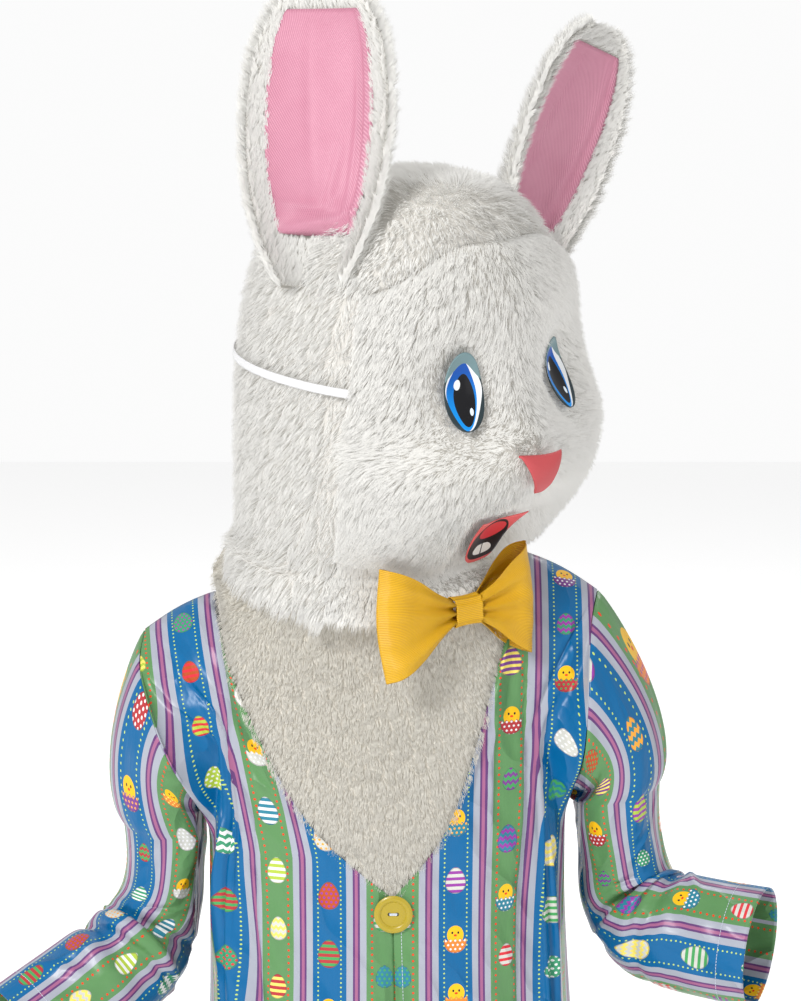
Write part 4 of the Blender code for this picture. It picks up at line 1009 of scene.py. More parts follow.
def sum_of(operation: str, turned: bool = False) -> Callable[..., "Value"]:
    """Makes a method of Value that adds a Math node.

    Args:
        operation: The node's operation.
        turned: Whether the other value goes in first.

    Returns:
        The method.
    """
    def method(value: "Value", *others: object) -> "Value":
        """Adds the node."""
        return value.graph.math(operation, *((*others, value) if turned else (value, *others)))
    return method


@dataclass(frozen=True)
class Value:
    """A number that flows through a shader graph."""

    graph: Graph
    socket: Socket

    __add__, __radd__ = sum_of("ADD"), sum_of("ADD", True)
    __sub__, __rsub__ = sum_of("SUBTRACT"), sum_of("SUBTRACT", True)
    __mul__, __rmul__ = sum_of("MULTIPLY"), sum_of("MULTIPLY", True)
    __truediv__, __rtruediv__ = sum_of("DIVIDE"), sum_of("DIVIDE", True)
    __mod__, __rmod__ = sum_of("FLOORED_MODULO"), sum_of("FLOORED_MODULO", True)
    __lt__, __gt__, __abs__ = sum_of("LESS_THAN"), sum_of("GREATER_THAN"), sum_of("ABSOLUTE")
    floor, sine, least, most = sum_of("FLOOR"), sum_of("SINE"), sum_of("MINIMUM"), sum_of("MAXIMUM")

    def wave(self, period: float) -> "Value":
        """A triangle wave."""
        return abs((self / period) % 1.0 - 0.5)

    def step(self, low: float, high: float) -> "Value":
        """A smooth step.

        Args:
            low: Where it is still 0.
            high: Where it is 1.

        Returns:
            A value from 0 to 1.
        """
        inputs = {"Value": self, "From Min": low, "From Max": high}
        made = self.graph.node("ShaderNodeMapRange", {"interpolation_type": "SMOOTHSTEP"}, inputs)
        return Value(self.graph, made.outputs[0])


def disc(x: Value, y: Value, across: float, high: float) -> Value:
    """Whether a place is inside an upright oval."""
    return (x / across) * (x / across) + (y / high) * (y / high) < 1.0


# Finishes

class EggLook(Enum):
    """Where each kind of painted egg starts in the random range. Below the first an egg is striped."""

    ZIGZAG = 0.28
    DOTTED = 0.50
    HATCHING = 0.74


@dataclass(frozen=True)
class PrintFinish:
    """Satin printed with bands, lines of dots and painted eggs. Lengths are in metres."""

    name: str = "striped_satin"
    band: float = 0.034
    half_repeat: float = 0.054
    lines: Sequence[float] = (0.0065, 0.0085, 0.0115, 0.0135)
    dots_in: float = 0.0055
    egg_pitch: float = 0.058
    egg_half: float = 0.0084
    egg_spread: float = 0.0030
    stripe: float = 0.0062
    zigzag: float = 0.0072
    zig: float = 0.0052
    spot_x: float = 0.0048
    spot_y: float = 0.0042
    blue: Colour = linear(0, 98, 152)
    green: Colour = linear(93, 140, 88)
    white: Colour = linear(164, 168, 180)
    purple: Colour = linear(98, 58, 114)
    pink: Colour = linear(162, 98, 136)
    lime: Colour = linear(190, 215, 110)
    orange: Colour = linear(230, 60, 20)
    yolk: Colour = linear(246, 190, 20)
    bodies: Colours = (
        linear(184, 78, 34), linear(208, 208, 200), linear(46, 128, 150), linear(176, 198, 70),
        linear(180, 54, 58), linear(122, 66, 142), linear(232, 132, 50), linear(60, 150, 110),
    )
    paints: Colours = (
        linear(70, 160, 90), linear(150, 60, 160), linear(245, 225, 110), linear(235, 235, 235),
        linear(215, 50, 60), linear(246, 170, 60),
    )

    def choice(self, graph: Graph, value: Value, colours: Colours) -> Socket:
        """Picks one of several colours.

        Args:
            graph: The material's graph.
            value: A random value from 0 to 1.
            colours: The colours.

        Returns:
            The picked colour.
        """
        ramp = graph.node("ShaderNodeValToRGB", inputs={0: value})
        ramp.color_ramp.interpolation = "CONSTANT"
        steps = ramp.color_ramp.elements
        for i, colour in enumerate(colours):
            at = steps[i] if i < len(steps) else steps.new(i / len(colours))
            at.position = i / len(colours)
            at.color = (*colour, 1)
        return ramp.outputs[0]

    def eggs(self, graph: Graph, ground: Socket, h: Value, n: Value, v: Value) -> Socket:
        """Paints a row of eggs along the middle of each band.

        Args:
            graph: The material's graph.
            ground: The colour behind them.
            h: Across, from the band's edge.
            n: The band's number.
            v: Along.

        Returns:
            The colour with the eggs.
        """
        along_cells = v / self.egg_pitch + n * 0.37
        cell = along_cells.floor()
        at = graph.place(cell * 1.7 + 0.3, n * 2.3)
        noise = graph.node("ShaderNodeTexWhiteNoise", {"noise_dimensions": "2D"}, {"Vector": at})
        parts = graph.node("ShaderNodeSeparateColor", inputs={0: noise.outputs["Color"]})
        size, look, tint = (Value(graph, parts.outputs[i]) for i in range(3))
        other = (tint * 7.31 + look * 3.7) % 1.0
        hatching = look > EggLook.HATCHING.value
        wide = self.egg_half + self.egg_spread * size.most(hatching * 0.9)
        tall = wide * 1.30
        x = h - self.band / 2 + (size - 0.5) * 0.002
        y = (along_cells - cell - 0.5) * self.egg_pitch
        taper = 1.0 - 0.22 * y / tall
        edge = (x / (wide * taper)) * (x / (wide * taper)) + (y / tall) * (y / tall)
        inside = edge < 1.0
        body = self.choice(graph, tint, self.bodies)
        paint = self.choice(graph, other, self.paints)
        zig = x.wave(self.zig) * self.zig
        striped = ((y * (2 * math.pi / self.stripe)).sine() > 0.1) * (look < EggLook.ZIGZAG.value)
        zigzag = (((y + zig) * (2 * math.pi / self.zigzag)).sine() > 0.0)
        zigzag = zigzag * (look > EggLook.ZIGZAG.value) * (look < EggLook.DOTTED.value)
        row = (y / self.spot_y).floor()
        dot_x = ((x / self.spot_x + row * 0.5) % 1.0 - 0.5) * self.spot_x
        dot_y = ((y / self.spot_y) % 1.0 - 0.5) * self.spot_y
        dotted = disc(dot_x, dot_y, 0.0012, 0.0012)
        dotted = dotted * (look > EggLook.DOTTED.value) * (look < EggLook.HATCHING.value)
        shell = (y < zig - 0.0025) * hatching
        shown = inside * (1.0 - hatching * (1.0 - (y < zig - 0.0025)))
        colour = graph.mix((striped + zigzag + dotted).least(1.0), body, paint)
        colour = graph.mix(shell * disc(dot_x, dot_y, 0.0011, 0.0011), colour, paint)
        head = disc(x, y - 0.0035, 0.0084, 0.0094) * hatching
        ground = graph.mix(head, ground, self.yolk)
        eyes = disc(abs(x) - 0.0030, y - 0.0058, 0.0010, 0.0013) * hatching
        ground = graph.mix(eyes, ground, (0.01, 0.01, 0.015))
        ground = graph.mix(disc(x, y - 0.0032, 0.0016, 0.0011) * hatching, ground, self.orange)
        colour = graph.mix((edge > 0.86) * 0.45, colour, (0.05, 0.03, 0.06))
        return graph.mix(shown, ground, colour)

    def make(self) -> Material:
        """Builds the material.

        Returns:
            The material.
        """
        graph = Graph(self.name)
        u, v = graph.flat()
        half = self.half_repeat
        n = (u / half).floor()
        h = u - n * half
        green = (n % 2.0) < 0.5
        in_band = h < self.band
        across = h - self.band
        a, b, c, d = self.lines
        purple = (across > a) * (across < d)
        pink = (across > b) * (across < c)
        colour = graph.mix(purple, self.white, self.purple)
        colour = graph.mix(pink, colour, self.pink)
        band = graph.mix(green, self.blue, self.green)
        near = abs(h - self.dots_in).least(abs(h - (self.band - self.dots_in)))
        pitch = 0.0046 + green * 0.0018
        dot_v = ((v / pitch) % 1.0 - 0.5) * pitch
        radius = 0.00085 + green * 0.0003
        dots = near * near + dot_v * dot_v < radius * radius
        band = graph.mix(dots, band, graph.mix(green, self.lime, self.orange))
        band = self.eggs(graph, band, h, n, v)
        colour = graph.mix(in_band, colour, band)
        place = graph.place(u + v * 0.35, v * 0.55)
        ridge = 1.0 - abs(graph.noise(15.0, 2.0, place) * 2.0 - 1.0)
        crumple = ridge * ridge * 0.75 + graph.noise(46.0, 3.0, graph.place(u, v * 0.4)) * 0.22
        graph.bump(crumple, 0.0150, 0.7)
        return graph.finish(Base_Color=colour, Roughness=0.32, Specular_IOR_Level=0.3)


@dataclass(frozen=True)
class SatinFinish:
    """Woven satin with fine ribs, its colour alternating along them as painted sheen and shade, with random
    tone.
    """

    name: str
    colour: Colour
    # The deep colour: painted shade on the ribs, also the dark end of the random tone
    deep: Colour
    rib: float
    slant: float = 0.0
    rough: float = 0.38
    relief: float = 0.0004

    def make(self) -> Material:
        """Builds the material.

        Returns:
            The material.
        """
        graph = Graph(self.name)
        u, v = graph.flat()
        rib = ((u + v * self.slant) * (2 * math.pi / self.rib)).sine() * 0.5 + 0.5
        soft = graph.noise(26.0, 3.0)
        # Painted sheen and shade: the colour alternates with the ribs between the main colour and the deep
        # one; the noise adds random tone
        colour = graph.mix(rib * 0.6 + (soft - 0.5) * 0.5, self.colour, self.deep)
        graph.bump(rib, self.relief, 0.8)
        return graph.finish(Base_Color=colour, Roughness=self.rough)


@dataclass(frozen=True)
class FurFinish:
    """Pile whose colour darkens from tip to root as painted shade within the pile, that glows faintly in its
    own colour as painted light scattered between its hairs, and lets some light through.
    """

    name: str
    # The roots' colour, darker than the tips': painted shade within the pile
    root: Colour
    tip: Colour
    let_through: float = 0.42
    # Emission in the pile's own colour: painted glow for light scattered between the hairs
    painted_glow: float = 0.25

    def make(self) -> Material:
        """Builds the material.

        Returns:
            The material.
        """
        graph = Graph(self.name)
        rise = Value(graph, graph.node("ShaderNodeAttribute", {"attribute_name": "rise"}).outputs["Fac"])
        tint = Value(graph, graph.node("ShaderNodeAttribute", {"attribute_name": "tint"}).outputs["Fac"])
        # Painted shade: the colour darkens from the tips down to the roots
        colour = graph.mix(rise.step(0.0, 0.75), self.root, self.tip)
        colour = graph.mix(tint * 0.14, colour, self.root)
        through_light = graph.node("ShaderNodeBsdfTranslucent", inputs={"Color": self.tip})
        inputs = {0: self.let_through, 1: graph.shader.outputs[0], 2: through_light.outputs[0]}
        both = graph.node("ShaderNodeMixShader", inputs=inputs)
        graph.feed(graph.tree.nodes["Material Output"].inputs["Surface"], both.outputs[0])
        # The emission is painted glow; the pile is no lamp
        return graph.finish(Base_Color=colour, Roughness=0.75, Sheen_Weight=0.35, Sheen_Roughness=0.5,
                            Emission_Color=colour, Emission_Strength=self.painted_glow)


@dataclass(frozen=True)
class PlainFinish:
    """One colour with faint variation."""

    name: str
    colour: Colour
    rough: float
    coat: float = 0.0
    grain: float = 300.0
    relief: float = 0.0001

    def make(self) -> Material:
        """Builds the material.

        Returns:
            The material.
        """
        graph = Graph(self.name)
        soft = graph.noise(40.0, 3.0)
        colour = graph.mix((soft - 0.4) * 0.4, self.colour, tuple(c * 0.7 for c in self.colour))
        graph.bump(graph.noise(self.grain, 2.0), self.relief, 0.5)
        return graph.finish(Base_Color=colour, Roughness=self.rough, Coat_Weight=self.coat,
                            Coat_Roughness=0.08)


@dataclass(frozen=True)
class EyeFinish:
    """A printed, glossy eye. Its map runs from -1 to 1 both ways."""

    name: str

    def make(self) -> Material:
        """Builds the material.

        Returns:
            The material.
        """
        graph = Graph(self.name)
        u, v = graph.flat()
        colour = graph.mix(disc(u, v, 0.96, 0.98), linear(40, 55, 60), linear(232, 234, 236))
        blue = disc(u + 0.12, v + 0.12, 0.80, 0.86)
        shade = graph.mix(v.step(-0.8, 0.6), linear(0, 140, 225), linear(0, 78, 170))
        colour = graph.mix(blue, colour, shade)
        colour = graph.mix(disc(u + 0.02, v + 0.26, 0.58, 0.64), colour, (0.004, 0.004, 0.006))
        colour = graph.mix(disc(u + 0.40, v - 0.08, 0.18, 0.15), colour, linear(240, 244, 246))
        colour = graph.mix(disc(u - 0.26, v + 0.62, 0.10, 0.08), colour, linear(225, 238, 246))
        lid = (v - u * u * -0.42 - 0.70) > 0.0
        colour = graph.mix(lid, colour, linear(112, 138, 142))
        return graph.finish(Base_Color=colour, Roughness=0.3, Specular_IOR_Level=0.25,
                            Coat_Weight=0.12, Coat_Roughness=0.1)


@dataclass(frozen=True)
class MouthFinish:
    """A printed open mouth with a tongue and two teeth. Its map runs from -1 to 1 both ways."""

    name: str = "printed_mouth"

    def make(self) -> Material:
        """Builds the material.

        Returns:
            The material.
        """
        graph = Graph(self.name)
        u, v = graph.flat()
        lip = linear(226, 96, 96)
        black = (0.012, 0.008, 0.010)
        colour = graph.mix(disc(u - 0.06, v - 0.08, 0.90, 0.92), lip, black)
        colour = graph.mix(disc(u - 0.16, v - 0.46, 0.62, 0.40), colour, linear(214, 58, 66))
        tooth = disc(u - 0.06, v + 0.36, 0.48, 0.26) * (v < -0.16)
        colour = graph.mix(tooth, colour, linear(240, 238, 232))
        colour = graph.mix((abs(u - 0.08) < 0.03) * tooth, colour, black)
        return graph.finish(Base_Color=colour, Roughness=0.42)


# Making meshes

def pick(piece: Object) -> None:
    """Makes one object the only selected and active one.

    Args:
        piece: The object.
    """
    bpy.ops.object.select_all(action="DESELECT")
    piece.select_set(True)
    bpy.context.view_layer.objects.active = piece


def place_piece(piece: Object, slot: str, *nodes: str) -> Object:
    """Hangs a piece on the costume's frame.

    Args:
        piece: The object.
        slot: The record's material slot; not used.
        nodes: The solids it stands for.

    Returns:
        The same object.
    """
    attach(piece, "root")
    if nodes:
        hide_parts(*nodes)
    LOG.info("%s: %d faces", piece.name, len(piece.data.polygons))
    return piece


@dataclass
class Sheet:
    """A stretch of cloth: its outer points, the ways they face, and where each lies when flat."""

    grid: np.ndarray
    ways: np.ndarray
    flat: np.ndarray
    around: bool = False

    def make(self, name: str, finish: Material, thick: float) -> Object:
        """Builds the cloth as a thin shell.

        Args:
            name: The object's name.
            finish: Its material.
            thick: How thick it is, 0 for a single skin.

        Returns:
            The object.
        """
        rows, columns = self.grid.shape[:2]
        i, j = np.mgrid[0:rows - 1, 0:columns if self.around else columns - 1]
        i, j = i.ravel(), j.ravel()
        k = (j + 1) % columns
        corners = ((i, j, j), (i, k, j + 1), (i + 1, k, j + 1), (i + 1, j, j))
        points = self.grid.reshape(-1, 3)
        faces = np.stack([a * columns + b for a, b, _ in corners], 1)
        cross = np.cross(points[faces[:, 2]] - points[faces[:, 0]], points[faces[:, 3]] - points[faces[:, 1]])
        if (cross * self.ways.reshape(-1, 3)[faces[:, 0]]).sum() < 0:
            corners, faces = corners[::-1], faces[:, ::-1]
        places = np.stack([self.flat[a, c] for a, _, c in corners], 1)
        mesh = bpy.data.meshes.new(name)
        mesh.from_pydata(points.tolist(), [], faces.tolist())
        mesh.uv_layers.new(name=MAP).data.foreach_set("uv", places.astype(np.float32).ravel())
        piece = add_piece(mesh, finish)
        pick(piece)
        bpy.ops.object.shade_smooth()
        if thick:
            bpy.ops.object.modifier_add(type="SOLIDIFY")
            piece.modifiers[-1].thickness = thick
            piece.modifiers[-1].offset = -1.0
        return piece

    def declare(self, piece: Object, held: str, rests_on: Sequence[str],
                pile: Sequence[Object] = ()) -> None:
        """Takes a piece made from this sheet and does nothing with it.

        Args:
            piece: The object made from this sheet; not used.
            held: How it is held; not used.
            rests_on: What it lies on or is sewn to; not used.
            pile: Separate pieces on it; not used.
        """

    def raised(self, creases: Table) -> None:
        """Presses soft ridges and troughs into the cloth.

        Args:
            creases: Rows of column share, row share, half length, half width, turn in degrees, height out.
        """
        rows, columns = self.grid.shape[:2]
        v, u = np.mgrid[0:1:rows * 1j, 0:1:columns * 1j]
        total = np.zeros((rows, columns))
        for at_u, at_v, long, wide, turn, rise in creases:
            c, s = math.cos(math.radians(turn)), math.sin(math.radians(turn))
            du, dv = u - at_u, v - at_v
            if self.around:
                du = (du + 0.5) % 1.0 - 0.5
            run, off = du * c + dv * s, dv * c - du * s
            total += rise * np.exp(-((run / long) ** 2) - (off / wide) ** 2)
        self.grid = self.grid + self.ways * total[..., None]


def sheet_of(grid: np.ndarray, middle: np.ndarray, around: bool = False) -> Sheet:
    """A sheet whose flat measure runs along its own rows and columns.

    Args:
        grid: Rows and columns of points.
        middle: What it faces away from.
        around: Whether each row is a closed ring.

    Returns:
        The sheet.
    """
    closed = np.concatenate([grid, grid[:, :1]], 1) if around else grid
    u = run_of(closed[len(closed) // 2])
    v = run_of(closed[:, closed.shape[1] // 2])
    flat = np.stack(np.broadcast_arrays((u - u[-1] / 2)[None], v[:, None]), -1)
    return Sheet(grid, normals_of(grid, middle, around), flat, around)


@dataclass
class Fur:
    """Pile on a stretch of cloth, as joined blades of mesh."""

    name: str
    blades: int
    length: float
    width: float
    lean: float
    droop: float
    clump: float
    rng: np.random.Generator
    roots: List[np.ndarray] = field(default_factory=list)
    ways: List[np.ndarray] = field(default_factory=list)
    combs: List[np.ndarray] = field(default_factory=list)
    sizes: List[np.ndarray] = field(default_factory=list)

    def sow(self, grid: np.ndarray, ways: np.ndarray, comb: np.ndarray, share: float,
            keep: Optional[np.ndarray] = None, size: float = 1.0) -> None:
        """Scatters roots over a grid, evenly by area.

        Args:
            grid: Rows and columns of points.
            ways: The way each faces.
            comb: The way the pile is combed, one for each point or one for all.
            share: How much of the blades grow here.
            keep: Which cells grow pile, all if left out.
            size: How long the pile is here, as a share.
        """
        comb = np.broadcast_to(comb, grid.shape)
        area = np.linalg.norm(np.cross(grid[1:, 1:] - grid[:-1, :-1], grid[1:, :-1] - grid[:-1, 1:]), axis=-1)
        if keep is not None:
            area = area * keep
        count = int(self.blades * share)
        cell = self.rng.choice(area.size, count, p=area.ravel() / area.sum())
        i, j = np.unravel_index(cell, area.shape)
        s, t = self.rng.random((2, count, 1))
        for store, values in ((self.roots, grid), (self.ways, ways), (self.combs, comb)):
            low = values[i, j] * (1 - t) + values[i, j + 1] * t
            high = values[i + 1, j] * (1 - t) + values[i + 1, j + 1] * t
            store.append(low * (1 - s) + high * s)
        self.sizes.append(np.full(count, size))

    def grow(self, finish: Material, off: Optional[BVHTree] = None, gap: float = 0.0) -> Object:
        """Builds the blades.

        Args:
            finish: Their material.
            off: A tree of what the pile keeps clear of.
            gap: How near a root may be to it.

        Returns:
            The object.
        """
        root, way, comb = (np.concatenate(a) for a in (self.roots, self.ways, self.combs))
        size = np.concatenate(self.sizes)
        if off is not None:
            apart = np.array([off.find_nearest(Vector(p), 0.05)[3] or 0.05 for p in root])
            size = size * np.clip((apart - gap * 0.5) / 0.022, 0.3, 1.0)
            far = apart > gap
            root, way, comb, size = root[far], way[far], comb[far], size[far]
        count = len(root)
        way = unit(way)
        comb = unit(comb - way * (comb * way).sum(-1, keepdims=True))
        stray = unit(self.rng.normal(size=(count, 3)))
        long = (self.length * size * self.rng.uniform(0.72, 1.12, count))[:, None]
        start = unit(way + comb * self.lean + stray * 0.18)
        bend = unit(start + comb * self.lean * 0.7 + np.array((0, 0, -self.droop)) + stray * 0.18)
        middle = root + start * long * 0.5
        tip = middle + bend * long * 0.5
        if self.clump:
            heads = self.rng.choice(count, max(count // 34, 1), replace=False)
            tree = KDTree(len(heads))
            for i, head in enumerate(heads):
                tree.insert(Vector(root[head]), i)
            tree.balance()
            near = heads[[tree.find(Vector(p))[1] for p in root]]
            together = tip[near] + self.rng.normal(size=(count, 3)) * 0.0006
            tip = tip + (together - tip) * self.clump
            middle = middle + (middle[near] - middle) * self.clump * 0.35
        side = unit(np.cross(start, way + stray * 0.3)) * (self.width / 2)
        points = np.stack([root - side, root + side, middle - side * 0.8, middle + side * 0.8, tip], 1)
        mesh = bpy.data.meshes.new(self.name)
        mesh.vertices.add(count * 5)
        mesh.vertices.foreach_set("co", points.astype(np.float32).ravel())
        first = np.arange(count)[:, None] * 5
        loops = np.concatenate([first + (0, 1, 3, 2), first + (2, 3, 4)], 1)
        mesh.loops.add(count * 7)
        mesh.loops.foreach_set("vertex_index", loops.astype(np.int32).ravel())
        mesh.polygons.add(count * 2)
        starts = np.arange(count)[:, None] * 7 + (0, 4)
        mesh.polygons.foreach_set("loop_start", starts.astype(np.int32).ravel())
        mesh.update(calc_edges=True)
        rise = np.tile((0.0, 0.0, 0.55, 0.55, 1.0), count)
        tint = np.repeat(self.rng.random(count), 5)
        for key, values in (("rise", rise), ("tint", tint)):
            layer = mesh.attributes.new(key, "FLOAT", "POINT")
            layer.data.foreach_set("value", values.astype(np.float32))
        mesh.shade_smooth()
        soft = unit(way[:, None] + np.stack([start * 0.3] * 4 + [bend * 0.5], 1))
        mesh.normals_split_custom_set_from_vertices(soft.reshape(-1, 3).tolist())
        return add_piece(mesh, finish)


# Sub-assemblies

@dataclass
class Jacket:
    """Fronts, back and sleeves in printed satin, with topstitching."""

    finish: Material
    thread: Material
    cut: Cut = field(default_factory=Cut)
    shell: float = 0.0012

    def flat_of(self, grid: np.ndarray, part: str) -> np.ndarray:
        """Where each point of the body's cloth lies in the printed length.

        Args:
            grid: Rows and columns of points.
            part: left, right or back.

        Returns:
            Across and along for each point.
        """
        turns = np.linspace(0, math.pi, 181)
        _, half, front, back = through(TORSO, -0.45)
        ring = np.array([
            (half * rounded(math.sin(t), RING_POWER), (front if t < math.pi / 2 else back)
             * rounded(math.cos(t), RING_POWER)) for t in turns
        ])
        arcs = run_of(ring)
        sizes = np.array([through(TORSO, z) for z in np.clip(grid[..., 2], HEM_Z, CHEST_Z).ravel()])
        middle, half, front, back = sizes.reshape(*grid.shape[:2], 4).transpose(2, 0, 1)
        x, y, z = grid.transpose(2, 0, 1)
        depth = np.where(y < 0, front, back)
        power = RING_POWER / 2
        side = np.sign(x - middle) * np.abs((x - middle) / half) ** power
        face = -np.sign(y) * np.abs(y / depth) ** power
        turn = np.arctan2(side, face)
        upper = ease(z, -0.44, -0.06)
        if part == "back":
            turn = turn % (2 * math.pi)
            arc = np.where(turn <= math.pi, np.interp(turn, turns, arcs),
                           2 * arcs[-1] - np.interp(2 * math.pi - turn, turns, arcs))
            u = arc * (1 - upper) + (arcs[-1] - (x - middle)) * upper
            return self.lengths_up(grid, u)
        arc = np.sign(turn) * np.interp(np.abs(turn), turns, arcs) + middle
        u = arc * (1 - upper) + x * upper
        if part == "right":
            u = u + 0.004 + 0.18 * np.maximum(z + 0.26, 0)
        else:
            u = u - 0.0137
        return self.lengths_up(grid, u)

    def lengths_up(self, grid: np.ndarray, u: np.ndarray) -> np.ndarray:
        """Adds the length along the cloth to the place across it.

        Args:
            grid: Rows and columns of points, from the hem up.
            u: The place across, for each point.

        Returns:
            Across and along for each point.
        """
        steps = (np.diff(grid, axis=0) ** 2).sum(-1) - np.diff(u, axis=0) ** 2
        v = np.cumsum(np.sqrt(np.maximum(steps, 1e-8)), axis=0)
        return np.stack([u, np.concatenate([grid[:1, :, 2], grid[:1, :, 2] + v])], -1)

    def stitches(self, name: str, line: np.ndarray, ways: np.ndarray) -> Object:
        """A row of topstitching along a line of cloth.

        Args:
            name: The object's name.
            line: Points of the line.
            ways: The way the cloth faces at each.

        Returns:
            The object.
        """
        key = run_of(line)
        count = int(key[-1] / STITCH_PITCH)
        starts = np.linspace(0.001, key[-1] - 0.003, count)
        a, b = through_many(key, line, starts), through_many(key, line, starts + STITCH_LONG)
        out = unit(through_many(key, ways, starts))
        side = unit(np.cross(b - a, out)) * STITCH_HALF
        lift = out * 0.0004
        points = np.stack([a - side, a + side, b + side, b - side, (a + b) / 2 + lift], 1)
        points = points + out[:, None] * 0.0002
        corners = ((0, 1, 4), (1, 2, 4), (2, 3, 4), (3, 0, 4))
        faces = [[k * 5 + c for c in f] for k in range(count) for f in corners]
        mesh = bpy.data.meshes.new(name)
        mesh.from_pydata(points.reshape(-1, 3).tolist(), [], faces)
        return place_piece(add_piece(mesh, self.thread), "striped_satin")

    def build(self) -> None:
        """Builds the jacket."""
        cut = self.cut
        left = cut.front_grid(1, ARMHOLE_LEFT_FRONT)
        right = cut.front_grid(-1, ARMHOLE_RIGHT_FRONT)
        back = cut.back_grid(ARMHOLE_LEFT_BACK, ARMHOLE_RIGHT_BACK)
        arm = NECK_COLUMNS + SHOULDER_COLUMNS
        loops = {
            1: np.concatenate([left[-1, arm:], back[-1, 1:ARM_COLUMNS]]),
            -1: np.concatenate([right[-1, arm:], back[-1, -ARM_COLUMNS:-1][::-1]]),
        }
        right = cut.underlap(right)
        for part, grid in (("left", left), ("right", right), ("back", back)):
            name = "jacket_back" if part == "back" else "jacket_front_" + part
            middle = grid * (0, 0, 1) + (0.01, 0, 0)
            if part != "right":
                grid[:, 0] += unit(grid[:, 1] - grid[:, 0]) * BODY_GAP
            grid[:, -1] += unit(grid[:, -2] - grid[:, -1]) * BODY_GAP
            grid[-1] += unit(grid[-2] - grid[-1]) * BODY_GAP
            sheet = Sheet(grid, normals_of(grid, middle), self.flat_of(grid, part))
            sheet.raised(CREASES[name])
            piece = place_piece(sheet.make(name + "_cloth", self.finish, self.shell), "striped_satin", name)
            ways = sheet.ways
            rows = [self.stitches(name + "_hem_thread", sheet.grid[2], ways[2])]
            if part == "left":
                rows.append(self.stitches("front_edge_thread", sheet.grid[:-4, 1], ways[:-4, 1]))
            sheet.declare(piece, "hung", [name], rows)
        sleeves = ((1, SLEEVE_LEFT, SLEEVE_FOLDS_LEFT), (-1, SLEEVE_RIGHT, SLEEVE_FOLDS_RIGHT))
        for side, path, folds in sleeves:
            name = "sleeve_left" if side > 0 else "sleeve_right"
            grid, middles = cut.sleeve_grid(side, loops[side], path, folds)
            grid[0] += unit(grid[1] - grid[0]) * SLEEVE_GAP[side]
            key = run_of(middles)
            u = np.linspace(0, 2 * math.pi * PRINT_RADIUS, grid.shape[1] + 1) * side + SLEEVE_PRINT[side]
            flat = np.stack(np.broadcast_arrays(u[None], -key[:, None]), -1)
            sheet = Sheet(grid, normals_of(grid, middles[:, None], True), flat, True)
            sheet.raised(CREASES[name])
            piece = place_piece(sheet.make(name + "_cloth", self.finish, self.shell), "striped_satin", name)
            row = np.concatenate([sheet.grid[-9], sheet.grid[-9, :1]])
            ways = np.concatenate([sheet.ways[-9], sheet.ways[-9, :1]])
            sheet.declare(piece, "hung", [name], [self.stitches(name + "_cuff_thread", row, ways)])


